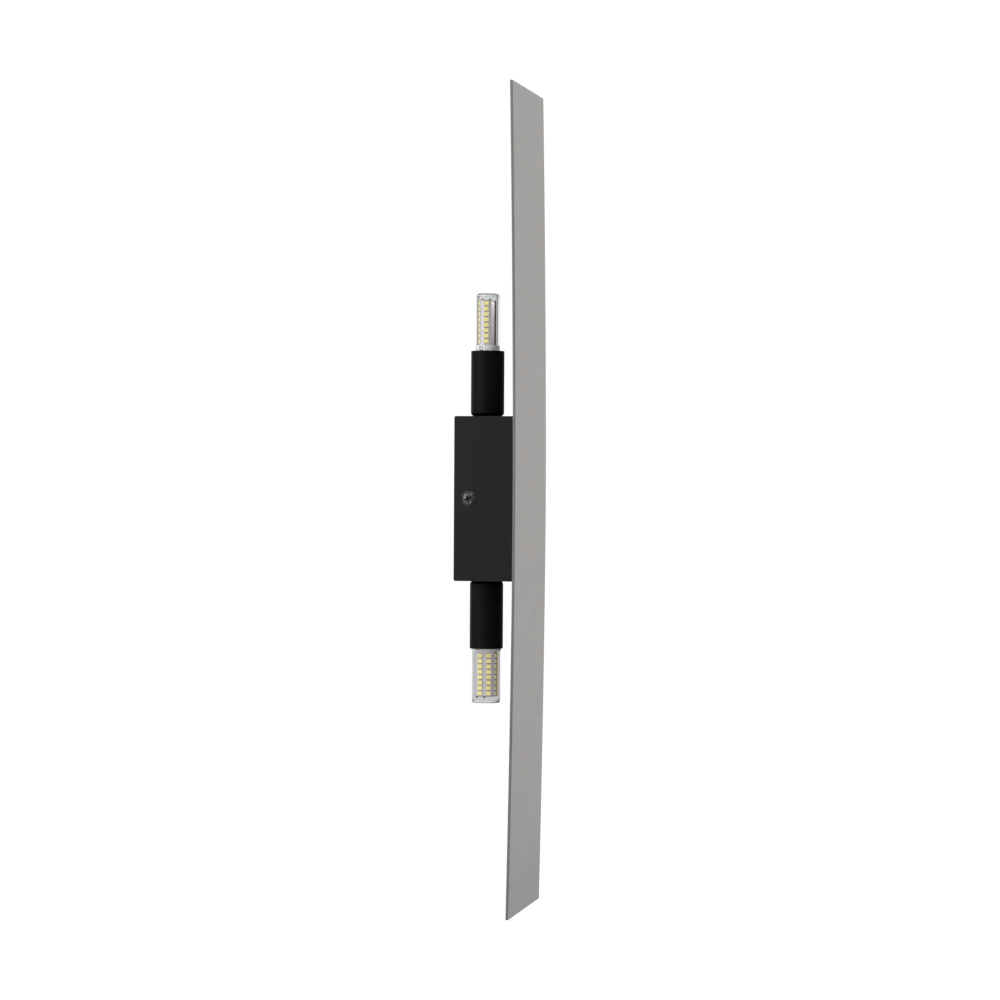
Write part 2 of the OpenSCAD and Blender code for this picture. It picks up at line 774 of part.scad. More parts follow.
module panel_studs() {
    color(zinc) for (side = [-1, 1]) {
        z = side * stud_spacing / 2;
        translate([0, panel_back(z) + seat_gap, z - panel_drop]) rotate([-90, 0, 0])
            cylinder(d = stud_d, h = stud_l);
    }
}

module panel_washers() {
    color(zinc) for (side = [-1, 1])
        translate([0, housing_t - housing_d, side * stud_spacing / 2 - panel_drop])
            rotate([-90, 0, 0]) washer(stud_washer_d, washer_t, stud_d + 2 * hole_gap);
}

module panel_nuts() {
    color(zinc) for (side = [-1, 1])
        translate([0, housing_t + washer_t - housing_d, side * stud_spacing / 2 - panel_drop])
            rotate([-90, 0, 0]) nut(stud_nut_w, stud_nut_h, stud_d + 2 * thread_gap);
}

// ---- sleeves and what clamps them ----

// A round cup, its foot at z = 0
module sleeve(l) {
    r = sleeve_d / 2;
    color(black_paint) rotate_extrude() polygon(concat(
        [[nipple_d / 2 + hole_gap, 0]],
        [
            for (a = [0 : 15 : 90])
                [r - sleeve_foot_r + sleeve_foot_r * sin(a), sleeve_foot_r - sleeve_foot_r * cos(a)]
        ],
        [[r, l - rim_r], [r - rim_r, l], [sleeve_bore_r + rim_r, l], [sleeve_bore_r, l - rim_r]],
        [[sleeve_bore_r, sleeve_floor + 1], [sleeve_bore_r - 1, sleeve_floor]],
        [[nipple_d / 2 + hole_gap, sleeve_floor]]
    ));
}

module upper_sleeve() {
    upper_end() sleeve(upper_sleeve_l);
}

module lower_sleeve() {
    lower_end() sleeve(lower_sleeve_l);
}

module nipple() {
    color(zinc) translate([0, 0, nipple_low]) difference() {
        cylinder(d = nipple_d, h = nipple_high - nipple_low);
        translate([0, 0, -cut])
            cylinder(d = nipple_bore, h = nipple_high - nipple_low + 2 * cut);
    }
}

module upper_nipple() {
    upper_end() nipple();
}

module lower_nipple() {
    lower_end() nipple();
}

// The nuts of one end: one in the sleeve, one in the housing
module end_nuts() {
    translate([0, 0, sleeve_floor])
        nut(nipple_nut_w, nipple_nut_h, nipple_d + 2 * thread_gap);
    translate([0, 0, -housing_t - nipple_washer_t - nipple_nut_h])
        nut(nipple_nut_w, nipple_nut_h, nipple_d + 2 * thread_gap);
}

module nipple_nuts() {
    color(zinc) {
        upper_end() end_nuts();
        lower_end() end_nuts();
    }
}

module end_washer() {
    translate([0, 0, -housing_t - nipple_washer_t])
        washer(nipple_washer_d, nipple_washer_t, nipple_d + 2 * hole_gap);
}

module nipple_washers() {
    color(zinc) {
        upper_end() end_washer();
        lower_end() end_washer();
    }
}

// ---- lampholders ----

// A bent strip: a round foot on the nipple and a leg up each flat of the lampholder
module holder_bridge() {
    outer_x = holder_flat + seat_gap + bridge_t;
    color(zinc) difference() {
        union() {
            translate([0, 0, bridge_z]) intersection() {
                cylinder(r = bridge_r, h = bridge_t);
                translate([-outer_x, -bridge_r, 0]) cube([2 * outer_x, 2 * bridge_r, bridge_t]);
            }
            for (side = [-1, 1])
                translate([side * (outer_x - bridge_t / 2), 0, bridge_z + (leg_top - bridge_z) / 2])
                    cube([bridge_t, leg_w, leg_top - bridge_z], center = true);
        }
        translate([0, 0, bridge_z - cut])
            cylinder(d = nipple_d + 2 * thread_gap, h = bridge_t + 2 * cut);
        translate([-holder_d, 0, holder_screw_z]) rotate([0, 90, 0])
            cylinder(d = holder_screw_d + 2 * hole_gap, h = 2 * holder_d);
    }
}

module upper_holder_bridge() {
    upper_end() holder_bridge();
}

module lower_holder_bridge() {
    lower_end() holder_bridge();
}

module end_holder_screws() {
    for (side = [0, 180]) rotate([0, 0, side])
        translate([holder_flat + bridge_t + 2 * seat_gap, 0, holder_screw_z]) rotate([0, 90, 0])
            slotted_screw(holder_screw_d, holder_screw_l, holder_head_d, holder_head_h);
}

module holder_screws() {
    color(zinc) {
        upper_end() end_holder_screws();
        lower_end() end_holder_screws();
    }
}

// A ceramic body with a seat for the lamp's plug and a well for each contact
module lampholder() {
    color(ceramic) difference() {
        translate([0, 0, holder_z]) intersection() {
            cylinder(d = holder_d, h = holder_l);
            translate([-holder_flat, -holder_d / 2, 0]) cube([2 * holder_flat, holder_d, holder_l]);
        }
        translate([0, 0, holder_reach - plug_room / 2])
            cube([plug[0] + 2 * slip, plug[1] + 2 * slip, plug_room + 0.01], center = true);
        for (side = [-1, 1]) {
            translate([side * pin_pitch / 2, 0, well_floor + well[2] / 2 + cut / 2])
                cube([well[0], well[1], well[2] + cut], center = true);
            translate([side * pin_pitch / 2, 0, holder_z - cut])
                cylinder(d = lead_hole_d, h = well_floor - holder_z + 2 * cut);
            translate([side * holder_flat, 0, holder_screw_z]) rotate([0, -side * 90, 0])
                translate([0, 0, -cut])
                    cylinder(d = holder_screw_d + 2 * thread_gap, h = holder_screw_l + cut);
        }
    }
}

module upper_lampholder() {
    upper_end() lampholder();
}

module lower_lampholder() {
    lower_end() lampholder();
}

// A leaf on each side of each pin, joined at the foot of its well
module contacts() {
    color(brass) for (side = [-1, 1])
        translate([side * pin_pitch / 2, 0, well_floor]) {
            translate([-leaf_w / 2, -leaf_gap - leaf_t, 0])
                cube([leaf_w, 2 * (leaf_gap + leaf_t), leaf_t]);
            for (face = [-1, 1])
                translate([-leaf_w / 2, face * (leaf_gap + leaf_t / 2) - leaf_t / 2, 0])
                    cube([leaf_w, leaf_t, leaf_h]);
        }
}

module upper_contacts() {
    upper_end() contacts();
}

module lower_contacts() {
    lower_end() contacts();
}

// ---- lamps, each in its own frame: z = 0 at the lampholder's face ----

module lamp_frame() {
    translate([0, 0, holder_reach]) children();
}

// The collar and the plug below it, with a pocket for the driver
module lamp_base() {
    color([0.82, 0.83, 0.84]) difference() {
        union() {
            translate([0, 0, slip]) linear_extrude(collar_h - slip - collar_edge) oval(collar_r);
            translate([0, 0, collar_h - collar_edge])
                linear_extrude(collar_edge) oval(collar_r - collar_edge / 2);
            translate([0, 0, -plug[2]]) linear_extrude(plug[2] + slip + cut)
                rounded_rectangle(plug[0], plug[1], plug_corner_r);
        }
        translate([0, 0, collar_h - driver_pocket[2] / 2 + cut / 2])
            cube([driver_pocket[0], driver_pocket[1], driver_pocket[2] + cut], center = true);
        for (side = [-1, 1]) translate([side * pin_pitch / 2, 0, -plug[2]]) pin_slot();
        for (half = [0, 180], s = snap_stations) rotate([0, 0, half]) snap_window(s);
    }
}

// A cutter for a pin's two legs in the plug
module pin_slot() {
    for (leg = [-1, 1])
        translate([leg * (pin_loop_w - pin_wire_d) / 2, 0, -cut])
            cylinder(d = pin_wire_d + 2 * thread_gap, h = pin_root + cut);
}

// A cutter for an arched window in the collar, where the cover snaps in
module snap_window(s) {
    place = oval_point(s, collar_r, collar_r);
    translate([place[0], place[1], collar_h - collar_edge - snap_h])
        rotate([0, 0, oval_angle(s, collar_r)]) translate([-snap_depth, 0, 0])
            rotate([90, 0, 90]) linear_extrude(snap_depth + cut) {
                translate([-snap_w / 2, -cut]) square([snap_w, cut + snap_h - snap_w / 2]);
                translate([0, snap_h - snap_w / 2]) circle(d = snap_w);
            }
}

// Two looped pins
module lamp_pins() {
    leg_x = (pin_loop_w - pin_wire_d) / 2;
    bend_z = -plug[2] - pin_l + pin_loop_w / 2;
    color([0.85, 0.85, 0.86]) for (side = [-1, 1])
        translate([side * pin_pitch / 2, 0, 0]) {
            for (leg = [-1, 1])
                translate([leg * leg_x, 0, bend_z])
                    cylinder(d = pin_wire_d, h = pin_root - plug[2] - bend_z);
            translate([0, 0, bend_z]) rotate([-90, 0, 0])
                rotate_extrude(angle = 180) translate([leg_x, 0]) circle(d = pin_wire_d);
        }
}

// A small upright board with a capacitor and a few flat parts
module lamp_driver() {
    color([0.2, 0.4, 0.25]) translate([-driver_w / 2, 0, driver_foot])
        cube([driver_w, driver_t, driver_l]);
    color([0.1, 0.1, 0.12]) {
        translate([0, seat_gap - capacitor_d / 2, capacitor_z])
            cylinder(d = capacitor_d, h = capacitor_l);
        for (z = rectifier_heights)
            translate([-rectifier[0] / 2, driver_t - seat_gap, z]) cube(rectifier);
    }
}

// The circuit board, bent round the lamp with flats for the columns and an open seam
module lamp_board(seam) {
    stations = board_stations(seam);
    last = len(stations) - 1;
    outline = concat(
        [for (k = [0 : last]) oval_point(stations[k], board_r, board_r)],
        [for (k = [last : -1 : 0]) oval_point(stations[k], board_r, board_r - board_t)]
    );
    color([0.88, 0.88, 0.87]) translate([0, 0, board_z + seat_gap])
        linear_extrude(board_l) polygon(outline);
}

// Chips in rows on the board's flats
module lamp_leds(seam) {
    color(phosphor) for (k = [0 : chip_columns - 1], row = [0 : chip_rows - 1]) {
        from = oval_point(column_at(k, seam) - flat_half, board_r, board_r);
        to = oval_point(column_at(k, seam) + flat_half, board_r, board_r);
        middle = (from + to) / 2;
        facing = atan2(to[1] - from[1], to[0] - from[0]) - 90;
        translate([middle[0], middle[1], board_z + seat_gap + chip_inset + row * chip_pitch])
            rotate([0, 0, facing]) translate([seat_gap / 2, -chip_w / 2, -chip_h / 2])
                cube([chip_t, chip_w, chip_h]);
    }
}

// A clear cup over the board, its closed end outwards
module lamp_cover() {
    straight = lamp_l - cover_edge_r;
    color(clear) translate([0, 0, collar_h + seat_gap]) difference() {
        hull() {
            linear_extrude(straight - collar_h - seat_gap) oval(cover_r);
            for (a = [22.5 : 22.5 : 90])
                translate([0, 0, straight - collar_h - seat_gap + cover_edge_r * sin(a) - 0.01])
                    linear_extrude(0.01) oval(cover_r - cover_edge_r * (1 - cos(a)));
        }
        translate([0, 0, -cut])
            linear_extrude(lamp_l - collar_h - cover_end_t + cut) oval(cover_r - cover_t);
    }
}

module upper_lamp_base() {
    upper_end() lamp_frame() lamp_base();
}

module lower_lamp_base() {
    lower_end() lamp_frame() lamp_base();
}

module upper_lamp_pins() {
    upper_end() lamp_frame() lamp_pins();
}

module lower_lamp_pins() {
    lower_end() lamp_frame() lamp_pins();
}

module upper_lamp_driver() {
    upper_end() lamp_frame() lamp_driver();
}

module lower_lamp_driver() {
    lower_end() lamp_frame() lamp_driver();
}

module upper_lamp_board() {
    upper_end() lamp_frame() lamp_board(upper_seam);
}

module lower_lamp_board() {
    lower_end() lamp_frame() lamp_board(lower_seam);
}

module upper_lamp_leds() {
    upper_end() lamp_frame() lamp_leds(upper_seam);
}

module lower_lamp_leds() {
    lower_end() lamp_frame() lamp_leds(lower_seam);
}

module upper_lamp_cover() {
    upper_end() lamp_frame() lamp_cover();
}

module lower_lamp_cover() {
    lower_end() lamp_frame() lamp_cover();
}

wall_bracket();
tab_nuts();
cable_bushing();
terminal_block();
terminal_inserts();
terminal_screws();
block_screws();
earth_screw();
earth_lug();
earth_wire();
live_wires();
neutral_wires();
housing();
side_screw_left();
side_screw_right();
front_panel();
panel_studs();
panel_washers();
panel_nuts();
upper_sleeve();
lower_sleeve();
upper_nipple();
lower_nipple();
nipple_nuts();
nipple_washers();
upper_holder_bridge();
lower_holder_bridge();
holder_screws();
upper_lampholder();
lower_lampholder();
upper_contacts();
lower_contacts();
upper_lamp_base();
lower_lamp_base();
upper_lamp_pins();
lower_lamp_pins();
upper_lamp_driver();
lower_lamp_driver();
upper_lamp_board();
lower_lamp_board();
upper_lamp_leds();
lower_lamp_leds();
upper_lamp_cover();
lower_lamp_cover();
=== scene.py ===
# Looks of a wall light that shines up and down: a bowed satin metal panel on a black folded housing, with
# a two-pin lamp in a round sleeve above and below. X is across the wall, -Y away from it and Z up. Lengths
# are in millimetres, but for the places and sizes of the lights and the camera, which are in metres.
import math

import bmesh
import bpy
from mathutils import Matrix, Vector


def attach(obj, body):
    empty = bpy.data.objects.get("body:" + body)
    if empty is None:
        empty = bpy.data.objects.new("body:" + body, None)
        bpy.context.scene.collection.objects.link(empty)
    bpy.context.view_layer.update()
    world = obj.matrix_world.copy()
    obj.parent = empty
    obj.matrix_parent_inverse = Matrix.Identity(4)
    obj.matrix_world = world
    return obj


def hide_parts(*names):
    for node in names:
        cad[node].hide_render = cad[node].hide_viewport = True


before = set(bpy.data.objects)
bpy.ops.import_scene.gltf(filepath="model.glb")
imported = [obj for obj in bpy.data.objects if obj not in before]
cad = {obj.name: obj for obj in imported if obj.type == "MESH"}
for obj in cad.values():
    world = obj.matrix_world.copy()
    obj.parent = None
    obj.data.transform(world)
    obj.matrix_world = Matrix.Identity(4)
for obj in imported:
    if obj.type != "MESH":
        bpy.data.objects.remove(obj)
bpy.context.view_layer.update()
MM = 0.001

# ---- sizes, as the solids have them ----
PANEL_L, PANEL_W, PANEL_T, PANEL_BOW, BOW_POWER, PANEL_DROP = 600, 120, 2, 3.6, 1.65, 0.8
STUD_SPACING, STUD_D, STUD_L, STUD_PITCH = 60, 5, 9, 0.8
HOUSING_W, HOUSING_D, HOUSING_H, HOUSING_T, BEND_R, CORNER_R = 50, 50, 120, 1.2, 1.5, 1.2
SLEEVE_D, SLEEVE_T, SLEEVE_FLOOR, FOOT_R, SLEEVE_Y = 24.4, 1, 2.5, 3.2, 19.5
UPPER_SLEEVE_H, LOWER_SLEEVE_H = 48, 50
HOLDER_REACH, LAMP_L, LAMP_LONG, LAMP_SHORT = 44, 46, 20.8, 15.8
COVER_T, COVER_END, COVER_EDGE, COLLAR_H, COLLAR_LIP, COLLAR_EDGE = 1, 2, 1.8, 8, 0.5, 0.6
CHIP_W, CHIP_H, CHIP_T, CHIP_ROWS, CHIP_PITCH, CHIP_COLUMNS, COLUMN_PITCH = 3.5, 2.8, 0.8, 8, 3.95, 6, 6.3
FIRST_ROW = 3
BOARD_T, BOARD_L, BOARD_PLAY, SEAM_GAP, UPPER_SEAM, LOWER_SEAM = 0.6, 33, 0.35, 7.8, 7.8, -1
PIN_PITCH, PIN_L, PIN_D, PIN_LOOP, PIN_ROOT = 9, 11, 0.8, 3.2, 3
PLUG_L, PLUG_W, PLUG_D, PLUG_R, POCKET_X, POCKET_Y, POCKET_FLOOR = 9.8, 14, 9, 2, 5.2, 3.2, -6
NIPPLE_D, NIPPLE_BORE, NIPPLE_LOW, NIPPLE_HIGH, NIPPLE_PITCH = 10, 7.6, -6, 7.5, 1
SIDE_Y, SIDE_D, SIDE_TIP, SIDE_HEAD_D, SIDE_HEAD_H, SIDE_PITCH = 10.8, 4, 18, 11, 3.2, 0.7
PANEL_NUT_W, PANEL_NUT_H, PANEL_WASHER_T = 8, 4, 1
NIPPLE_NUT_W, NIPPLE_NUT_H, NIPPLE_WASHER_T = 14, 3, 0.8
TAB_NUT_W, TAB_NUT_H, TAB_X = 7, 3.2, 22
BUSHING_Z = 8
SEAT = 0.05        # between parts that lie on each other
HOLE_PLAY = 0.3    # round what goes through a sheet
THREAD_PLAY = 0.1  # a nut's bore over its rod
OVAL_C = (LAMP_LONG - LAMP_SHORT) / 2
COVER_R = LAMP_SHORT / 2
BOARD_R = COVER_R - COVER_T - BOARD_PLAY - CHIP_T
BOARD_LOW = COLLAR_H + SEAT
BOARD_SPAN = 2 * math.pi * BOARD_R + 4 * OVAL_C - SEAM_GAP
END_MARGIN = (BOARD_SPAN - (CHIP_COLUMNS - 1) * COLUMN_PITCH) / 2
FLAT_HALF = CHIP_W / 2 + 0.25


def shift(x, y, z):
    return Matrix.Translation((x, y, z))


def spin(degrees, axis):
    return Matrix.Rotation(math.radians(degrees), 4, axis)


UPPER = shift(0, -SLEEVE_Y, HOUSING_H / 2) @ spin(180, "Z")
LOWER = Matrix(((0, 1, 0, 0), (1, 0, 0, -SLEEVE_Y), (0, 0, -1, -HOUSING_H / 2), (0, 0, 0, 1)))
HOLDER_FACE = shift(0, 0, HOLDER_REACH)
CORNERS = ((-1, -1), (1, -1), (1, 1), (-1, 1))


# ---- mesh helpers ----
def linked(name, data):
    obj = bpy.data.objects.new(name, data)
    bpy.context.scene.collection.objects.link(obj)
    return obj


def reworked(mesh, work):
    """Does the work on the mesh's points, edges and faces."""
    b = bmesh.new()
    b.from_mesh(mesh)
    work(b)
    b.to_mesh(mesh)
    b.free()


def rounded_look(obj, sharp=35):
    """Smooth, but for edges sharper than the angle in degrees."""
    obj.data.polygons.foreach_set("use_smooth", [True] * len(obj.data.polygons))
    obj.data.set_sharp_from_angle(angle=math.radians(sharp))


def made(name, points, faces, place=Matrix(), mats=(), face_mats=None, sharp=35):
    """An object from points, set in its place."""
    mesh = bpy.data.meshes.new(name)
    mesh.from_pydata([(place @ Vector(p)) * MM for p in points], [], faces)
    for m in mats:
        mesh.materials.append(m)
    if face_mats:
        mesh.polygons.foreach_set("material_index", face_mats)

    def clean(b):
        bmesh.ops.remove_doubles(b, verts=b.verts, dist=0.0001 * MM)
        bmesh.ops.recalc_face_normals(b, faces=b.faces)

    reworked(mesh, clean)
    obj = linked(name, mesh)
    rounded_look(obj, sharp)
    return obj


def applied(obj):
    """Applies the object's modifiers to its mesh."""
    graph = bpy.context.evaluated_depsgraph_get()
    mesh = bpy.data.meshes.new_from_object(obj.evaluated_get(graph))
    old = obj.data
    obj.modifiers.clear()
    obj.data = mesh
    bpy.data.meshes.remove(old)
    rounded_look(obj)
    return obj


def bevelled(obj, width, segments, angle):
    """A modifier that rounds the object's edges where they are sharper than the angle in degrees."""
    m = obj.modifiers.new("edges", "BEVEL")
    m.width = width * MM
    m.segments = segments
    m.limit_method = "ANGLE"
    m.angle_limit = math.radians(angle)
    return m


def edged(obj, width, segments=2, angle=40):
    bevelled(obj, width, segments, angle).miter_outer = "MITER_ARC"
    return applied(obj)


def removed(obj):
    """Takes the object away, and its mesh."""
    mesh = obj.data
    bpy.data.objects.remove(obj)
    bpy.data.meshes.remove(mesh)


def combined(obj, others, operation="DIFFERENCE"):
    """Cuts the others out of the object, joins them to it, or keeps what they share."""
    for other in others:
        m = obj.modifiers.new("cut", "BOOLEAN")
        m.operation = operation
        m.solver = "EXACT"
        m.object = other
    applied(obj)
    for other in others:
        removed(other)
    return obj


def moved(obj, place):
    """The object set in its place, where its points are already in metres."""
    obj.data.transform(Matrix.Scale(MM, 4) @ place @ Matrix.Scale(1 / MM, 4))
    return obj


def joined(name, objects):
    """One object from several, each with the finishes that it had."""
    b = bmesh.new()
    mats = []
    for o in objects:
        start = len(b.faces)
        b.from_mesh(o.data)
        b.faces.ensure_lookup_table()
        for f in b.faces[start:]:
            m = o.data.materials[f.material_index] if o.data.materials else None
            if m not in mats:
                mats.append(m)
            f.material_index = mats.index(m)
    mesh = bpy.data.meshes.new(name)
    b.to_mesh(mesh)
    b.free()
    for m in mats:
        mesh.materials.append(m)
    for o in objects:
        removed(o)
    return linked(name, mesh)


def dressed(obj, body, slot, node):
    """Hangs the piece on the body that moves it, hides the solid it stands for, and but for the clear covers keeps
    its flat faces flat in shading.
    """
    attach(obj, body)
    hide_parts(node)
    if slot != "clear_cover":
        obj.modifiers.new("flat_faces", "WEIGHTED_NORMAL").keep_sharp = True
    return obj


# ---- outlines and solids ----
def arc(cx, cz, r, a0, a1, steps):
    """Points (x, z) on an arc, from one angle to the other, in degrees."""
    turns = [math.radians(a0 + (a1 - a0) * i / steps) for i in range(steps + 1)]
    return [(cx + r * math.cos(t), cz + r * math.sin(t)) for t in turns]


def polygon(r, z, n):
    """A level ring of n points about Z."""
    turns = [math.radians(360 / n * k) for k in range(n)]
    return [(r * math.cos(t), r * math.sin(t), z) for t in turns]


def rounded_rectangle(w, h, r, steps=4):
    points = []
    for sx, sy, a in ((1, 1, 0), (-1, 1, 90), (-1, -1, 180), (1, -1, 270)):
        points += arc(sx * (w / 2 - r), sy * (h / 2 - r), r, a, a + 90, steps)
    return points


def skin(n, rings, start=0):
    """The faces of a skin through rings of n points: its sides, and then its two ends."""
    faces = []
    for i in range(rings - 1):
        for k in range(n):
            a, b = start + i * n + k, start + i * n + (k + 1) % n
            faces.append((a, b, b + n, a + n))
    last = start + (rings - 1) * n
    return faces, [tuple(reversed(range(start, start + n))), tuple(range(last, last + n))]


def loft(name, rings, place=Matrix(), mats=(), caps=True, cap_mats=(0, 0), sharp=35):
    """A skin through rings of points, each with the same number of points."""
    faces, ends = skin(len(rings[0]), len(rings))
    face_mats = [0] * len(faces)
    if caps:
        faces += ends
        face_mats += cap_mats
    return made(name, [p for ring in rings for p in ring], faces, place, mats, face_mats, sharp)


def turned(name, profile, place=Matrix(), mats=(), steps=64, sharp=35, wraps=True, part_mats=None):
    """A profile of (radius, height) turned about Z. It closes on itself, or both its ends are on the axis."""
    points, faces, face_mats = [], [], []
    n = len(profile)
    for k in range(steps):
        a = 2 * math.pi * k / steps
        points += [(r * math.cos(a), r * math.sin(a), z) for r, z in profile]
    for k in range(steps):
        for i in range(n if wraps else n - 1):
            j = (i + 1) % n
            a, b = k * n, (k + 1) % steps * n
            face = [a + i, b + i, b + j, a + j]
            if profile[i][0] == 0:
                face = [a + i, b + j, a + j]
            elif profile[j][0] == 0:
                face = [a + i, b + i, a + j]
            faces.append(tuple(face))
            face_mats.append(part_mats[i] if part_mats else 0)
    return made(name, points, faces, place, mats, face_mats, sharp)


def bore(radius, reach, place):
    """A round cutter along Z that reaches as far up as down."""
    return turned("bore", [(0, -reach), (radius, -reach), (radius, reach), (0, reach)], place, wraps=False)


def block(name, low, high, place=Matrix(), mats=(), edge=0.1, segments=2):
    """A box with rounded edges."""
    (x0, y0, z0), (x1, y1, z1) = low, high
    ring = [(x0, y0), (x1, y0), (x1, y1), (x0, y1)]
    obj = loft(name, [[(x, y, z) for x, y in ring] for z in (z0, z1)], place, mats)
    return edged(obj, edge, segments) if edge else obj


def tube(name, path, radius, place=Matrix(), mats=(), sides=12):
    """A round wire along the points of a path."""
    path = [Vector(p) for p in path]
    ways = [(path[min(i + 1, len(path) - 1)] - path[max(i - 1, 0)]).normalized() for i in range(len(path))]
    side = ways[0].cross(Vector((0.31, 0.95, 0.12))).normalized()
    rings = []
    for p, way in zip(path, ways):
        side = (side - side.dot(way) * way).normalized()
        other = way.cross(side)
        turns = [2 * math.pi * k / sides for k in range(sides)]
        rings.append([p + radius * (math.cos(t) * side + math.sin(t) * other) for t in turns])
    return loft(name, rings, place, mats, sharp=50)


def threaded(name, r, z0, z1, pitch, place=Matrix(), mats=(), bore_d=0, steps=40):
    """A rod along Z with a screw thread that runs out at both ends, solid or with a bore."""
    depth, end_depth, run_out, per_turn = 0.54 * pitch, 0.9, 0.5 * pitch, 8
    levels = int(round((z1 - z0) / pitch * per_turn))
    rings = []
    for i in range(levels + 1):
        z = z0 + (z1 - z0) * i / levels
        ends = min(1, (z - z0) / run_out, (z1 - z) / run_out)
        ring = []
        for k in range(steps):
            phase = ((z - z0) / pitch - k / steps) % 1
            groove = depth * abs(2 * phase - 1)
            radius = r - groove * ends - depth * end_depth * (1 - ends)
            a = 2 * math.pi * k / steps
            ring.append((radius * math.cos(a), radius * math.sin(a), z))
        rings.append(ring)
    if bore_d:
        rings += [polygon(bore_d / 2, z, steps) for z in (z1, z0)]
        rings.append(rings[0])
    return loft(name, rings, place, mats, caps=not bore_d, sharp=40)


def hex_nut(width, height, bore_d, place):
    """A hexagonal nut with turned corners and a countersunk bore."""
    corner = width / math.sqrt(3)
    chamfer = (corner - width / 2) * 0.62
    flat, wide, sink, past = width / 2 - 0.05, corner + 0.2, 0.45, 0.01
    body = loft("nut", [polygon(corner, z, 6) for z in (0, height)])
    lens = turned("lens", [(0, -past), (flat, -past), (wide, chamfer), (wide, height - chamfer),
                           (flat, height + past), (0, height + past)], steps=48, wraps=False)
    combined(body, [lens], "INTERSECT")
    hole_r, mouth_r = bore_d / 2, bore_d / 2 + sink + 1
    hole = turned("hole", [(0, -1), (mouth_r, -1), (hole_r, sink), (hole_r, height - sink),
                           (mouth_r, height + 1), (0, height + 1)], steps=48, wraps=False)
    combined(body, [hole])

    def clean(b):
        bmesh.ops.remove_doubles(b, verts=b.verts, dist=0.01 * MM)
        bmesh.ops.dissolve_degenerate(b, edges=b.edges, dist=0.005 * MM)

    reworked(body.data, clean)
    body.data.materials.append(ZINC)
    return moved(body, place)


# ---- the lamp's oval section: two half circles joined by straight sides ----
def oval_point(s, r, reach):
    """The point that faces the station s round an oval of radius r, at the distance reach from its spine."""
    q, side = r * math.pi / 2, 2 * OVAL_C
    w = s % (4 * q + 2 * side)
    if w < q:
        spine, a = OVAL_C, w / r
    elif w < q + side:
        spine, a = OVAL_C - (w - q), math.pi / 2
    elif w < 3 * q + side:
        spine, a = -OVAL_C, math.pi / 2 + (w - q - side) / r
    elif w < 3 * q + 2 * side:
        spine, a = -OVAL_C + (w - 3 * q - side), 1.5 * math.pi
    else:
        spine, a = OVAL_C, 1.5 * math.pi + (w - 3 * q - 2 * side) / r
    return spine + reach * math.cos(a), reach * math.sin(a), a


def oval_ring(r, z, turns=28, sides=6):
    """A ring of points round an oval of radius r at a height."""
    points = [(OVAL_C + x, y, z) for x, y in arc(0, 0, r, -90, 90, turns)]
    points += [(OVAL_C * (1 - 2 * i / sides), r, z) for i in range(1, sides)]
    points += [(-OVAL_C + x, y, z) for x, y in arc(0, 0, r, 90, 270, turns)]
    points += [(OVAL_C * (2 * i / sides - 1), -r, z) for i in range(1, sides)]
    return points


# ---- materials ----
SWING = 0.4  # how far a noise texture's value ranges about its middle, 0.5
PATCHES, PATCH_DETAIL = 45.0, 3.0


def reckon(tree, operation, *values, clamp=True):
    """A math node on sockets or numbers, and its result."""
    node = tree.nodes.new("ShaderNodeMath")
    node.operation = operation
    node.use_clamp = clamp
    for i, value in enumerate(values):
        if isinstance(value, (int, float)):
            node.inputs[i].default_value = value
        else:
            tree.links.new(value, node.inputs[i])
    return node.outputs[0]


def noise(tree, place, scale, detail):
    node = tree.nodes.new("ShaderNodeTexNoise")
    node.inputs["Scale"].default_value = scale
    node.inputs["Detail"].default_value = detail
    tree.links.new(place, node.inputs["Vector"])
    return node.outputs["Fac"]


def material(name, colour, roughness, metallic=0.0, grain=900, spread=0.06, rough_spread=0.05, bump=0.0,
             bump_depth=0.05, detail=4.0, patch=0.05, **constant):
    """A surface whose colour, roughness and relief vary with its grain, and with larger faint patches.
    grain is in waves a metre, the same each way or along X, Y and Z. bump_depth is in millimetres."""
    m = bpy.data.materials.new(name)
    m.use_nodes = True
    m.diffuse_color = (*colour, 1)
    tree = m.node_tree
    tree.nodes.clear()
    add, link = tree.nodes.new, tree.links.new
    shader = add("ShaderNodeBsdfPrincipled")
    link(shader.outputs[0], add("ShaderNodeOutputMaterial").inputs[0])
    for key, value in {"Metallic": metallic, **constant}.items():
        shader.inputs[key].default_value = value
    place = add("ShaderNodeTexCoord").outputs["Object"]
    stretch = add("ShaderNodeMapping")
    stretch.inputs["Scale"].default_value = grain if isinstance(grain, tuple) else (grain,) * 3
    link(place, stretch.inputs[0])
    fine = noise(tree, stretch.outputs[0], 1.0, detail)
    broad = noise(tree, place, PATCHES, PATCH_DETAIL)
    middle = 1 - (spread + patch) / (2 * SWING)
    shade = reckon(tree, "MULTIPLY_ADD", broad, patch / SWING, middle, clamp=False)
    shade = reckon(tree, "MULTIPLY_ADD", fine, spread / SWING, shade, clamp=False)
    tint = add("ShaderNodeVectorMath")
    tint.operation = "SCALE"
    tint.inputs[0].default_value = colour
    link(shade, tint.inputs["Scale"])
    link(tint.outputs[0], shader.inputs["Base Color"])
    rough = reckon(tree, "MULTIPLY_ADD", fine, rough_spread / SWING, roughness - rough_spread / (2 * SWING))
    link(rough, shader.inputs["Roughness"])
    if bump:
        relief = add("ShaderNodeBump")
        relief.inputs["Strength"].default_value = bump
        relief.inputs["Distance"].default_value = bump_depth * MM
        link(fine, relief.inputs["Height"])
        link(relief.outputs[0], shader.inputs["Normal"])
    return m


def insulation(name, colour):
    return material(name, colour, 0.42, 0.0, 900, 0.1, 0.06, 0.1, 0.01, 3)


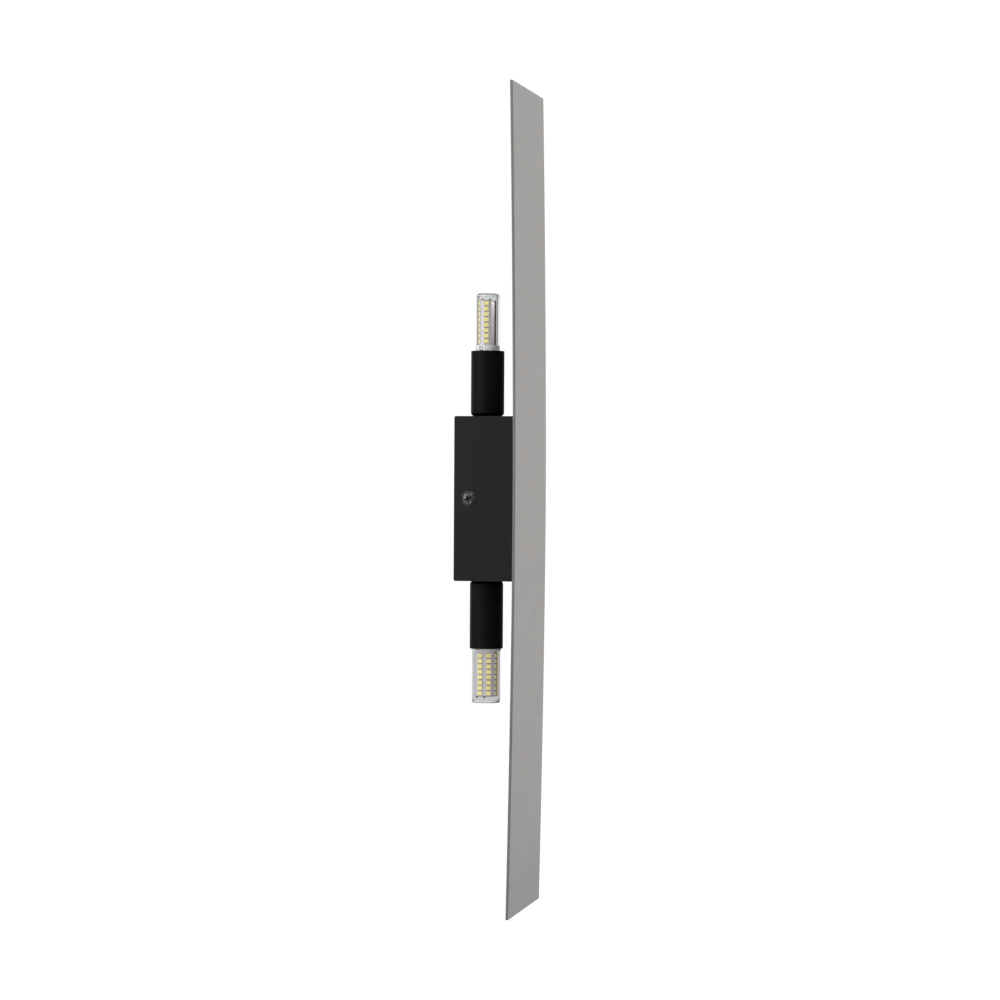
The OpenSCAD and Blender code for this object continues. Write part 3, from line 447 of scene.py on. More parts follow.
# name, colour, roughness, metallic, grain, spread, rough_spread, bump, bump_depth, detail, patch
NICKEL = material("satin_nickel", (0.35, 0.334, 0.321), 0.42, 1.0, (7000, 7000, 45), 0.07, 0.07, 0.25, 0.01, 3)
# The panel's edges: a rougher copy of the nickel whose darker colour is painted shade.
NICKEL_EDGE_SHADED = material("nickel_edge_painted_shade", (0.198, 0.193, 0.188), 0.52, 1.0, (5000, 5000, 900), 0.1, 0.08, 0.3, 0.02, 3)
BLACK = material("black_powder_coat", (0.0086, 0.0086, 0.01), 0.58, 0.0, 2600, 0.12, 0.06, 0.35, 0.03, 2,
                 **{"Specular IOR Level": 0.19})
# The sleeves' coat: a darker copy of the housing's black coat, with less shine, painted shade.
SLEEVE_BLACK_SHADED = material("black_coat_painted_shade", (0.0018, 0.0018, 0.002), 0.5, 0.0, 2600, 0.12, 0.06, 0.3, 0.025, 2,
                        **{"Specular IOR Level": 0.085})
SCREW = material("black_screw_steel", (0.075, 0.075, 0.08), 0.24, 0.9, 2000, 0.15, 0.08, 0.2, 0.01, 3,
                 **{"Coat Weight": 0.3, "Coat Roughness": 0.2})
# The screw's cross recess: near black and matte, painted shade in the hollow.
RECESS_SHADE = material("recess_painted_shade", (0.003, 0.003, 0.003), 0.6, 0.0, 2000, 0.1, 0.06, 0.2, 0.01, 3)
ZINC = material("zinc_plate", (0.42, 0.43, 0.45), 0.54, 1.0, 420, 0.1, 0.1, 0.15, 0.02, 5, 0.12)
STEEL = material("turned_steel", (0.56, 0.56, 0.57), 0.3, 1.0, (900, 900, 2600), 0.08, 0.08, 0.2, 0.01, 3, 0.06)
BRASS = material("plain_brass", (0.62, 0.43, 0.17), 0.33, 1.0, 800, 0.1, 0.1, 0.15, 0.01, 4, 0.1)
CERAMIC = material("steatite", (0.7, 0.68, 0.62), 0.55, 0.0, 1400, 0.05, 0.06, 0.3, 0.03, 5, 0.06)
RUBBER = material("black_rubber", (0.02, 0.02, 0.02), 0.72, 0.0, 1800, 0.2, 0.06, 0.3, 0.02, 4)
NYLON = material("natural_nylon", (0.74, 0.73, 0.68), 0.42, 0.0, 700, 0.04, 0.06, 0.15, 0.02, 4, 0.04,
                 **{"Subsurface Weight": 0.15, "Subsurface Radius": (0.002, 0.002, 0.0015),
                    "Subsurface Scale": 1.0})
COVER = material("clear_cover", (0.975, 0.98, 0.985), 0.03, 0.0, (300, 300, 120), 0.02, 0.02, 0.06, 0.01, 2, 0.01,
                 **{"Transmission Weight": 1.0, "IOR": 1.49})
COLLAR = material("pale_collar", (0.7, 0.7, 0.71), 0.32, 0.0, 700, 0.04, 0.05, 0.15, 0.02, 3, 0.04,
                  **{"Subsurface Weight": 0.2, "Subsurface Radius": (0.002, 0.002, 0.002),
                     "Subsurface Scale": 1.0})
# The collar's grooves: a dark grey that stands in for the shade inside them, painted shade.
GROOVE_SHADE = material("collar_groove_painted_shade", (0.1, 0.1, 0.1), 0.6, 0.0, 700, 0.1, 0.05, 0.15, 0.02, 3)
PIN = material("bright_pin_wire", (0.68, 0.68, 0.67), 0.2, 1.0, 1500, 0.08, 0.08, 0.1, 0.01, 3)
MASK = material("white_solder_mask", (0.66, 0.64, 0.66), 0.55, 0.0, (1500, 1500, 900), 0.05, 0.06, 0.2, 0.01, 4,
                0.06, **{"Specular IOR Level": 0.2})
# The board's inner side: a paler copy of the white mask with a faint glow, painted light that brightens what is seen
# through the seam.
MASK_INSIDE_GLOW = material("inner_mask_painted_light", (0.88, 0.86, 0.86), 0.5, 0.0, (1500, 1500, 900), 0.04, 0.05, 0.2,
                       0.01, 4, 0.06, **{"Emission Color": (1, 0.98, 0.97, 1), "Emission Strength": 0.12})
LAMINATE = material("board_edge", (0.06, 0.043, 0.034), 0.6, 0.0, (4000, 4000, 1500), 0.25, 0.06, 0.3, 0.02, 4)
CARD = material("driver_card", (0.85, 0.83, 0.82), 0.4, 0.0, 1500, 0.1, 0.06, 0.2, 0.01, 4)
# The chips' yellow phosphor, with a faint glow of its own though the lamp is off: painted light.
PHOSPHOR_GLOW = material("yellow_phosphor_painted_glow", (0.98, 0.87, 0.31), 0.45, 0.0, 2500, 0.1, 0.06, 0.2, 0.02, 4, 0.12,
                    **{"Emission Color": (1, 0.86, 0.25, 1), "Emission Strength": 0.07})
CHIP_BODY = material("chip_body", (0.82, 0.78, 0.62), 0.4, 0.0, 2500, 0.05, 0.05, 0.1, 0.01, 3)
SOLDER = material("solder", (0.6, 0.6, 0.6), 0.28, 1.0, 3000, 0.15, 0.1, 0.3, 0.02, 4)
BLACK_PART = material("black_part", (0.02, 0.02, 0.022), 0.5, 0.0, 2500, 0.15, 0.08, 0.2, 0.01, 4)
BROWN_WIRE = insulation("brown_insulation", (0.13, 0.045, 0.02))
BLUE_WIRE = insulation("blue_insulation", (0.02, 0.08, 0.32))
GREEN_WIRE = insulation("green_insulation", (0.06, 0.26, 0.04))


def mixed(tree, factor, other):
    """Sets the other shader in front of the surface, as far as the factor goes."""
    out = tree.nodes["Material Output"]
    mix = tree.nodes.new("ShaderNodeMixShader")
    surface = out.inputs[0].links[0].from_socket
    for i, value in enumerate((factor, surface, other)):
        tree.links.new(value, mix.inputs[i])
    tree.links.new(mix.outputs[0], out.inputs[0])


def lets_light_in(m):
    """Light that falls on what is inside goes straight through; the eye's own rays are bent as in clear plastic."""
    tree = m.node_tree
    clear = tree.nodes.new("ShaderNodeBsdfTransparent")
    clear.inputs[0].default_value = (0.93, 0.93, 0.93, 1)
    ray = tree.nodes.new("ShaderNodeLightPath").outputs
    mixed(tree, reckon(tree, "MAXIMUM", ray["Is Shadow Ray"], ray["Is Diffuse Ray"]), clear.outputs[0])


lets_light_in(COVER)


# ---- front panel ----
def bow_at(z):
    return PANEL_BOW * (1 - (abs(z) * 2 / PANEL_L) ** BOW_POWER)


def panel_back(z):
    return -(HOUSING_D + SEAT + bow_at(z) - bow_at(HOUSING_H / 2 + PANEL_DROP))


def front_panel():
    edge, half, turns, steps, edge_slope = 0.3, PANEL_L / 2, 4, 120, 0.6
    angles = [math.radians(90 - 90 / turns * i) for i in range(turns)]
    levels = [(-half + edge - edge * math.sin(a), edge * (1 - math.cos(a))) for a in angles]
    levels += [((PANEL_L - 2 * edge) * (i / steps - 0.5), 0) for i in range(steps + 1)]
    levels += [(half - edge + edge * math.sin(a), edge * (1 - math.cos(a))) for a in reversed(angles)]
    rings = []
    for z, inset in levels:
        middle = panel_back(z) - PANEL_T / 2
        outline = rounded_rectangle(PANEL_W - 2 * inset, PANEL_T - 2 * inset, edge * 1.02 - inset * 0.98, turns)
        rings.append([(x, middle + y, z - PANEL_DROP) for x, y in outline])
    obj = loft("panel", rings, mats=(NICKEL, NICKEL_EDGE_SHADED), sharp=40)
    # the edges, the faces that turn away from front and back, get the darker copy of the nickel: painted shade
    for f in obj.data.polygons:
        f.material_index = int(abs(f.normal.y) < edge_slope)
    return dressed(obj, "fixture", "panel_nickel", "front_panel")


front_panel()


# ---- housing: a folded box, open towards the wall ----
def housing():
    w, d, h, t = HOUSING_W, HOUSING_D, HOUSING_H, HOUSING_T
    inner_bend_r, past, turns = 0.5, 1, 6

    def plan(inset, r, open_y):
        """The folded sheet's outline from above."""
        x, y = w / 2 - inset, -d + inset
        left = arc(-x + r, y + r, r, 180, 270, turns)
        right = arc(x - r, y + r, r, 270, 360, turns)
        return [(-x, open_y)] + left + right + [(x, open_y)]

    outer = loft("folded_housing", [[(x, y, z) for x, y in plan(0, BEND_R, 0)] for z in (-h / 2, h / 2)])
    side = [(-d - past, h / 2), (-d - past, -h / 2)]
    side += arc(-CORNER_R, -h / 2 + CORNER_R, CORNER_R, 270, 360, turns)
    side += arc(-CORNER_R, h / 2 - CORNER_R, CORNER_R, 0, 90, turns)
    corners = loft("corners", [[(x, y, z) for y, z in side] for x in (-w / 2 - past, w / 2 + past)])
    combined(outer, [corners], "INTERSECT")
    outline = plan(t, inner_bend_r, past)
    cutters = [loft("inner", [[(x, y, z) for x, y in outline] for z in (-h / 2 + t, h / 2 - t)]),
               bore(SIDE_D / 2 + HOLE_PLAY, w, shift(0, -SIDE_Y, 0) @ spin(90, "Y"))]
    for s in (-1, 1):
        stud_hole = shift(0, -d, s * STUD_SPACING / 2 - PANEL_DROP) @ spin(90, "X")
        nipple_hole = shift(0, -SLEEVE_Y, s * h / 2)
        cutters.append(bore(STUD_D / 2 + HOLE_PLAY, 2 * t, stud_hole))
        cutters.append(bore(NIPPLE_D / 2 + HOLE_PLAY, 2 * t, nipple_hole))
    combined(outer, cutters)
    edged(outer, 0.3, 3, 50)
    outer.data.materials.append(BLACK)
    return dressed(outer, "fixture", "black_paint", "housing")


housing()


# ---- sleeves ----
def sleeve(end, place, length):
    r, bore_r, hole_r = SLEEVE_D / 2, SLEEVE_D / 2 - SLEEVE_T, NIPPLE_D / 2 + HOLE_PLAY
    lip, chamfer = 0.32, 0.15
    profile = [(hole_r, chamfer), (hole_r + chamfer, 0)]
    profile += arc(r - FOOT_R, FOOT_R, FOOT_R, -90, 0, 10)
    profile += [(r, length / 2)]
    profile += arc(r - lip, length - lip, lip, 0, 90, 4)
    profile += arc(bore_r + lip, length - lip, lip, 90, 180, 4)
    profile += [(bore_r, SLEEVE_FLOOR + 1), (bore_r - 0.3, SLEEVE_FLOOR + 0.3), (bore_r - 1, SLEEVE_FLOOR)]
    profile += [(hole_r + chamfer, SLEEVE_FLOOR), (hole_r, SLEEVE_FLOOR - chamfer)]
    obj = turned(end + "_tube", profile, place, (SLEEVE_BLACK_SHADED,), steps=96, sharp=50)
    return dressed(obj, "fixture", "black_paint", end + "_sleeve")


sleeve("upper", UPPER, UPPER_SLEEVE_H)
sleeve("lower", LOWER, LOWER_SLEEVE_H)

# ---- side screws: domed heads with a cross recess ----
# The recess's wings: depth below the crown, half the span and half the width at that depth.
WINGS = ((-0.3, 2.85, 0.68), (0.9, 2.3, 0.58), (1.9, 1.1, 0.48))
# The recess's round middle: radius, and depth below the crown.
CORE = ((0, -0.2), (1.35, -0.2), (1.0, 1.0), (0.5, 2.1), (0, 2.3))
RECESS_R, RECESS_DEPTH, RECESS_TURN = 3, 0.2, 22


def side_screw(side, sign):
    top, r = SIDE_HEAD_H, SIDE_HEAD_D / 2
    foot, brim_low, brim, crown_steps = 0.25, 0.2, 0.35, 16
    dome = (r * r + top * top) / (2 * top)
    span = math.degrees(math.asin((r - 0.1) / dome))
    angles = [math.radians(span * i / crown_steps) for i in range(crown_steps, -1, -1)]
    crown = [(dome * math.sin(a), top - dome + dome * math.cos(a)) for a in angles]
    profile = [(0, 0), (r - foot, 0), (r, brim_low), (r, brim)]
    profile += [p for p in crown if p[1] > brim + 0.05] + [(0, top)]
    head = turned(side + "_screw_piece", profile, steps=72, wraps=False, sharp=30)
    cutters = []
    for quarter in (0, 90):
        rings = [[(x, y, top - depth) for x, y in rounded_rectangle(2 * half, 2 * width, 0.2, 2)]
                 for depth, half, width in WINGS]
        cutters.append(loft("wing", rings, spin(quarter, "Z")))
    cutters.append(turned("core", [(radius, top - depth) for radius, depth in CORE], steps=32, wraps=False))
    combined(head, cutters)
    edged(head, 0.1, 2, 35)
    for m in (SCREW, RECESS_SHADE):
        head.data.materials.append(m)
    # the recess's faces get a darker colour, painted shade
    for f in head.data.polygons:
        x, y, z = f.center / MM
        surface = top - dome + math.sqrt(dome * dome - x * x - y * y)
        f.material_index = int(math.hypot(x, y) < RECESS_R and z < surface - RECESS_DEPTH)
    place = shift(sign * (HOUSING_W / 2 + SEAT), -SIDE_Y, 0) @ spin(sign * 90, "Y")
    moved(head, place @ spin(RECESS_TURN, "Z"))
    reach = HOUSING_W / 2 + SEAT - SIDE_TIP
    shank = threaded("shank", SIDE_D / 2, -reach, 0.3, SIDE_PITCH, place, (SCREW,), steps=32)
    return dressed(joined(side + "_screw_piece", [head, shank]), side + "_screw", "dark_screw", "side_screw_" + side)


side_screw("left", -1)
side_screw("right", 1)


# ---- lamps ----
def lamp_cover(end, place):
    """A clear shell, as an outer and an inner skin bridged at the foot."""
    foot, end_in, inner_r, inner_edge = COLLAR_H + SEAT, LAMP_L - COVER_END, COVER_R - COVER_T, 0.6
    straight, first, crown, end_radii = LAMP_L - COVER_EDGE, COLLAR_H + 4, 0.02, (4, 2, 0.3)
    levels = [foot, COLLAR_H + 0.4] + [first + i * (straight - first) / 6 for i in range(7)]
    rings = [oval_ring(COVER_R, z) for z in levels]
    rings += [oval_ring(COVER_R - COVER_EDGE + x, straight + z) for x, z in arc(0, 0, COVER_EDGE, 0, 90, 8)[1:]]
    rings += [oval_ring(r, LAMP_L - crown + crown * r / COVER_R) for r in end_radii]
    outside = loft("outside", rings, place, sharp=180)
    rings = [oval_ring(inner_r, z) for z in levels[:1] + levels[2:-1]]
    rings += [oval_ring(inner_r - inner_edge + x, end_in - inner_edge + z)
              for x, z in arc(0, 0, inner_edge, 0, 90, 4)]
    rings += [oval_ring(r, end_in) for r in end_radii]
    inside = loft("inside", rings, place, sharp=180)
    reworked(inside.data, lambda b: bmesh.ops.reverse_faces(b, faces=b.faces))
    obj = joined(end + "_cover", [outside, inside])
    foot_z = (place @ Vector((0, 0, foot))).z * MM

    def bridge(b):
        """Opens the flat ends of both skins at the foot and joins their rims."""
        caps = [f for f in b.faces if len(f.verts) > 20 and abs(f.calc_center_median().z - foot_z) < 1e-6]
        bmesh.ops.delete(b, geom=caps, context="FACES_ONLY")
        bmesh.ops.bridge_loops(b, edges=[e for e in b.edges if e.is_boundary])
        bmesh.ops.recalc_face_normals(b, faces=b.faces)

    reworked(obj.data, bridge)
    rounded_look(obj, 50)
    obj.data.materials.clear()
    obj.data.materials.append(COVER)
    return dressed(obj, end + "_lamp", "clear_cover", end + "_lamp_cover")


# The collar's rings: height, and how far beyond its full reach.
COLLAR_RINGS = ((0.3, -0.25), (0.45, -0.06), (0.7, 0), (COLLAR_H - COLLAR_EDGE, 0), (COLLAR_H - 0.25, -0.12),
                (COLLAR_H - 0.08, -0.28), (COLLAR_H, -0.5))
# The plug's rings: height, and inset.
PLUG_RINGS = ((-PLUG_L, 0.35), (-PLUG_L + 0.12, 0.12), (-PLUG_L + 0.4, 0), (1, 0))
# The collar's arched grooves, each round a tongue: where they stand, and the sizes of both.
ARCH_STATIONS, ARCH_HALF, TONGUE_HALF, ARCH_SPRING, ARCH_DROP, ARCH_DEPTH = (-3, -10.9), 1.3, 0.8, 1.1, 2.4, 0.6


def lamp_base(end, place):
    """A collar with arched grooves and a plug below it, hollow inside."""
    reach = COVER_R + COLLAR_LIP

    def arched(name, half, foot, back, front, spot):
        """An upright arch, across Y and up Z, that runs from back to front along X."""
        outline = [(half, foot), (half, ARCH_SPRING)] + arc(0, ARCH_SPRING, half, 0, 180, 10)
        outline += [(-half, ARCH_SPRING), (-half, foot)]
        return loft(name, [[(x, across, up) for across, up in outline] for x in (back, front)], spot)

    collar = loft("collar", [oval_ring(reach + past, z) for z, past in COLLAR_RINGS], sharp=40)
    plug = [[(x, y, z) for x, y in rounded_rectangle(PLUG_W - 2 * i, PLUG_D - 2 * i, PLUG_R - i, 6)]
            for z, i in PLUG_RINGS]
    combined(collar, [loft("plug", plug, sharp=40)], "UNION")
    cutters = [block("pocket", (-POCKET_X, -POCKET_Y, POCKET_FLOOR), (POCKET_X, POCKET_Y, COLLAR_H + 1), edge=0)]
    tongues = []
    for half_turn in (0, 180):
        for s in ARCH_STATIONS:
            x, y, a = oval_point(s, reach, reach)
            spot = spin(half_turn, "Z") @ shift(x, y, COLLAR_H - COLLAR_EDGE - ARCH_DROP)
            spot = spot @ spin(math.degrees(a), "Z") @ shift(-ARCH_DEPTH, 0, 0)
            cutters.append(arched("arch", ARCH_HALF, -1, -0.5, 2, spot))
            tongues.append(arched("tongue", TONGUE_HALF, -0.6, -0.8, 0.45, spot))
    combined(collar, cutters)
    combined(collar, tongues, "UNION")
    collar.data.materials.clear()
    for m in (COLLAR, GROOVE_SHADE):
        collar.data.materials.append(m)
    # the arched grooves' floors and walls get a darker colour, painted shade
    for f in collar.data.polygons:
        x, y, z = f.center / MM
        out = math.hypot(max(abs(x) - OVAL_C, 0), y)
        f.material_index = int(reach - 1.3 < out < reach - 0.25 and COLLAR_H / 2 < z < COLLAR_H - 0.7)
    moved(collar, place)
    collar.name = end + "_collar"
    return dressed(collar, end + "_lamp", "collar_plastic", end + "_lamp_base")


def lamp_pins(end, place):
    """Two pins of bent wire, each one a narrow loop."""
    leg, root = (PIN_LOOP - PIN_D) / 2, PIN_ROOT - PLUG_L
    low = -PLUG_L - PIN_L + PIN_LOOP / 2
    path = [(-leg, 0, root), (-leg, 0, low)] + [(x, 0, z) for x, z in arc(0, low, leg, 180, 360, 12)[1:]]
    path.append((leg, 0, root))
    parts = [tube("loop", path, PIN_D / 2, place @ shift(side * PIN_PITCH / 2, 0, 0), (PIN,)) for side in (-1, 1)]
    return dressed(joined(end + "_pins", parts), end + "_lamp", "pin_wire", end + "_lamp_pins")


def column_at(k, seam):
    return seam + SEAM_GAP / 2 + END_MARGIN + k * COLUMN_PITCH


# The driver card's two tabs at the board's free end: the column they stand past, and how far past it.
TABS = ((4, 3.15), (5, 2.9))


def lamp_board(end, place, seam):
    """A board bent round the oval, flat behind each column of chips, with a bead along its first side edge."""
    start = column_at(0, seam) - END_MARGIN
    stations = [start]
    for k in range(CHIP_COLUMNS):
        stations += [column_at(k, seam) - FLAT_HALF, column_at(k, seam) + FLAT_HALF]
    stations.append(column_at(CHIP_COLUMNS - 1, seam) + END_MARGIN)
    low, high, rim = BOARD_LOW, BOARD_LOW + BOARD_L, 0.4
    rings = []
    for s in stations:
        x, y, _ = oval_point(s, BOARD_R, BOARD_R)
        u, v, _ = oval_point(s, BOARD_R, BOARD_R - BOARD_T)
        rings.append([(x, y, low), (x, y, high - rim), (x, y, high), (u, v, high), (u, v, high - rim), (u, v, low)])
    board = loft("board", rings, place, (MASK, LAMINATE, MASK_INSIDE_GLOW), cap_mats=(1, 1), sharp=8)
    middle = place.translation * MM
    # bare laminate at both ends and along the free rim, and on the inner side a paler copy of the mask with a faint
    # glow, painted light
    for f in board.data.polygons:
        height = abs(f.center.z - middle.z) / MM
        if abs(f.normal.z) > 0.9 or height > high - rim:
            f.material_index = 1
        elif f.material_index == 0 and f.normal.dot(f.center - middle) < 0:
            f.material_index = 2
    foot, shoulder, top = BOARD_R - BOARD_T - 0.2, BOARD_R + 0.65, BOARD_R + 0.75
    outline = [(-0.3, foot), (0.25, foot), (0.25, shoulder), (0.1, top), (-0.15, top), (-0.3, shoulder)]
    spots = [oval_point(start + along, BOARD_R, reach)[:2] for along, reach in outline]
    rings = [[(x, y, z) for x, y in spots] for z in (low + 0.1, high - 0.1)]
    bead = loft("bead", rings, place, (LAMINATE,), sharp=50)
    parts = [board, bead]
    for k, past in TABS:
        x, y, a = oval_point(column_at(k, seam) + past, BOARD_R, BOARD_R - BOARD_T / 2)
        spot = place @ shift(x, y, high) @ spin(math.degrees(a), "Z")
        parts.append(block("tab", (-0.25, -0.9, -0.4), (0.25, 0.9, 1.1), spot, (LAMINATE,), 0.08))
        for y in (-0.45, 0.45):
            parts.append(block("dot", (0.2, y - 0.25, 0.2), (0.4, y + 0.25, 0.8), spot, (SOLDER,), 0.08))
    obj = joined(end + "_board", parts)
    rounded_look(obj, 8)
    return dressed(obj, end + "_lamp", "circuit_board", end + "_lamp_board")


# A chip's rings, from its foot to its sunk window: height, how much less wide and less high, corner radius.
CHIP_RINGS = ((0, 0, 0, 0.1), (0.66, 0.04, 0.04, 0.12), (0.72, 0.12, 0.12, 0.14), (0.72, 0.2, 0.18, 0.3),
              (0.65, 0.24, 0.22, 0.3))
# The dark strip between two chips, painted shade between the rows: width, height, corner radius and thickness.
STRIP_W, STRIP_H, STRIP_R, STRIP_T = 3.2, 0.3, 0.1, 0.03
# A solder fillet's foot and crest: height, shift towards the chip, half its width and half its length.
FILLET = ((0, 0, 0.14, 0.9), (0.16, 0.12, 0.02, 0.85))
FILLET_OUT = 0.13
BODY_FACE, WINDOW_FACE, SOLDER_FACE, SHADE_STRIP_FACE = range(4)


def lamp_chips(end, place, seam):
    """Chips with a sunk window and a solder fillet on either side, and dark strips between the rows as painted
    shade.
    """
    points, faces, kinds = [], [], []

    def add(rings, kind, end_kind=None):
        sides, ends = skin(len(rings[0]), len(rings), len(points))
        points.extend(p for ring in rings for p in ring)
        faces.extend(sides + ends)
        kinds.extend([kind] * (len(sides) + 1) + [kind if end_kind is None else end_kind])

    for k in range(CHIP_COLUMNS):
        ax, ay, _ = oval_point(column_at(k, seam) - FLAT_HALF, BOARD_R, BOARD_R)
        bx, by, _ = oval_point(column_at(k, seam) + FLAT_HALF, BOARD_R, BOARD_R)
        facing = math.degrees(math.atan2(by - ay, bx - ax)) - 90
        flat = place @ shift((ax + bx) / 2, (ay + by) / 2, 0) @ spin(facing, "Z")
        for row in range(CHIP_ROWS):
            spot = flat @ shift(SEAT / 2, 0, BOARD_LOW + FIRST_ROW + row * CHIP_PITCH)

            def ring(x, w, h, r, rise=0.0):
                return [spot @ Vector((x, y, up + rise)) for y, up in rounded_rectangle(w, h, r, 3)]

            chip = [ring(x, CHIP_W - less_w, CHIP_H - less_h, r) for x, less_w, less_h, r in CHIP_RINGS]
            add(chip, BODY_FACE, WINDOW_FACE)
            if row:
                add([ring(x, STRIP_W, STRIP_H, STRIP_R, -CHIP_PITCH / 2) for x in (0, STRIP_T)], SHADE_STRIP_FACE)
            for side in (-1, 1):
                fillet = []
                for x, inward, half, reach in FILLET:
                    y = side * (CHIP_W / 2 + FILLET_OUT - inward)
                    fillet.append([spot @ Vector((x, y + u * half, v * reach)) for u, v in CORNERS])
                add(fillet, SOLDER_FACE)
    mats = (CHIP_BODY, PHOSPHOR_GLOW, SOLDER, LAMINATE)
    obj = made(end + "_chips", points, faces, mats=mats, face_mats=kinds, sharp=30)
    return dressed(obj, end + "_lamp", "chip_phosphor", end + "_lamp_leds")


# The capacitor's outline, radius and height, with its case and then its bare end.
CAN = [(0, 0), (1.7, 0), (1.98, 0.25), (1.98, 7.6), (1.8, 7.85), (1.8, 8.15), (1.98, 8.4), (1.98, 8.8), (1.8, 9),
       (1.3, 8.92), (0, 8.92)]
CAN_FACES = [0] * 8 + [1] * 2 + [0]
# The card's flat parts: place across and up the card, width, height and finish.
FLAT_PARTS = ((-3.4, 7.2, 1.2, 2, BLACK_PART), (-3.4, 11, 1.2, 2, BLACK_PART), (3.3, 8, 1.2, 2, CHIP_BODY),
              (3.3, 12.4, 1.2, 2, BLACK_PART), (0, 15.5, 3.2, 1.6, BLACK_PART), (-3.4, 15.6, 1.2, 2, BLACK_PART))


def lamp_driver(end, place):
    """A small upright card with a capacitor, two rectifiers and a few flat parts."""
    parts = [block("card", (-4.8, 0, -5), (4.8, 1, 19), mats=(CARD,), edge=0.06, segments=1),
             turned("can", CAN, shift(0, -1.95, 9), (BLACK_PART, SOLDER), 40, wraps=False, part_mats=CAN_FACES)]
    for z in (-2, 2):
        parts.append(block("rectifier", (-2.5, 0.95, z + 0.1), (2.5, 2.2, z + 2.9), mats=(BLACK_PART,), edge=0.15))
        for x in (-1.6, 1.6):
            for low in (z - 0.15, z + 2.85):
                parts.append(block("leg", (x - 0.3, 0.98, low), (x + 0.3, 1.25, low + 0.35), mats=(SOLDER,),
                                   edge=0.05, segments=1))
    for x, z, w, h, mat in FLAT_PARTS:
        parts.append(block("flat_part", (x - w / 2, 0.98, z - h / 2), (x + w / 2, 1.45, z + h / 2), mats=(mat,),
                           edge=0.05, segments=1))
    obj = moved(joined(end + "_driver", parts), place)
    rounded_look(obj)
    return dressed(obj, end + "_lamp", "driver_board", end + "_lamp_driver")


for end, place, seam in (("upper", UPPER @ HOLDER_FACE, UPPER_SEAM), ("lower", LOWER @ HOLDER_FACE, LOWER_SEAM)):
    lamp_cover(end, place)
    lamp_base(end, place)
    lamp_pins(end, place)
    lamp_board(end, place, seam)
    lamp_chips(end, place, seam)
    lamp_driver(end, place)


# ---- what is fixed inside ----
def fixed_set(name, parts, node):
    return dressed(joined(name, parts), "fixture", "zinc_steel", node)


studs, nuts = [], []
for s in (-1, 1):
    z = s * STUD_SPACING / 2
    spot = shift(0, panel_back(z) + SEAT, z - PANEL_DROP) @ spin(-90, "X")
    studs.append(threaded("stud", STUD_D / 2, 0, STUD_L, STUD_PITCH, spot, (STEEL,)))
    spot = shift(0, HOUSING_T + PANEL_WASHER_T - HOUSING_D, z - PANEL_DROP) @ spin(-90, "X")
    nuts.append(hex_nut(PANEL_NUT_W, PANEL_NUT_H, STUD_D + THREAD_PLAY, spot))
fixed_set("panel_stud_pair", studs, "panel_studs")
fixed_set("panel_nut_pair", nuts, "panel_nuts")
nuts = [hex_nut(NIPPLE_NUT_W, NIPPLE_NUT_H, NIPPLE_D + THREAD_PLAY, place @ shift(0, 0, z))
        for place in (UPPER, LOWER) for z in (SLEEVE_FLOOR, -HOUSING_T - NIPPLE_WASHER_T - NIPPLE_NUT_H)]
fixed_set("nipple_nut_set", nuts, "nipple_nuts")
nuts = [hex_nut(TAB_NUT_W, TAB_NUT_H, SIDE_D + THREAD_PLAY, shift(s * TAB_X, -SIDE_Y, 0) @ spin(-s * 90, "Y"))
        for s in (-1, 1)]
fixed_set("tab_nut_pair", nuts, "tab_nuts")
for end, place in (("upper", UPPER), ("lower", LOWER)):
    rod = threaded(end + "_hollow_nipple", NIPPLE_D / 2, NIPPLE_LOW, NIPPLE_HIGH, NIPPLE_PITCH, place, (STEEL,),
                   NIPPLE_BORE, 48)
    dressed(rod, "fixture", "zinc_steel", end + "_nipple")
# The cable bushing's outline, with its groove: radius and height.
GROMMET = [(4.0, 0.3), (4.3, 0), (5.95, 0), (5.95, 1.55), (7.6, 1.55), (8, 1.85), (8, 2.6), (7.3, 3.25),
           (4.8, 3.25), (4.0, 2.6)]
grommet = turned("grommet", GROMMET, shift(0, 0, BUSHING_Z) @ spin(90, "X"), (RUBBER,), 64, 40)
dressed(grommet, "fixture", "bushing_rubber", "cable_bushing")

# The solids that stay, each with its finish and how far its edges are rounded.
KEPT = {
    "wall_bracket": (ZINC, 0.15), "panel_washers": (ZINC, 0.12), "nipple_washers": (ZINC, 0.12),
    "upper_holder_bridge": (ZINC, 0.12), "lower_holder_bridge": (ZINC, 0.12), "holder_screws": (ZINC, 0.1),
    "upper_lampholder": (CERAMIC, 0.3), "lower_lampholder": (CERAMIC, 0.3), "upper_contacts": (BRASS, 0.06),
    "lower_contacts": (BRASS, 0.06), "terminal_block": (NYLON, 0.25), "terminal_inserts": (BRASS, 0.1),
    "terminal_screws": (ZINC, 0.1), "block_screws": (ZINC, 0.1), "earth_screw": (BRASS, 0.15),
    "earth_lug": (ZINC, 0.08), "earth_wire": (GREEN_WIRE, 0), "live_wires": (BROWN_WIRE, 0),
    "neutral_wires": (BLUE_WIRE, 0),
}
for name, (mat, edge) in KEPT.items():
    node = cad[name]
    node.data.materials.clear()
    node.data.materials.append(mat)
    if edge:
        bevelled(node, edge, 2, 45).harden_normals = True

# ---- floor, light and camera ----
# The room's strength as light, what a cover takes off it, and the room and the floor seen through a cover.
SOFT_LIGHT, SOFT_LOSS, SEEN_THROUGH, GENTLE, FLOOR_THROUGH = 0.3, 0.15, 0.69, 0.25, 0.57
PAPER = (1.02, 1.02, 1.02, 1)
FLOOR_HALF, FLOOR_Z = 9000, -620
SMALL = 1
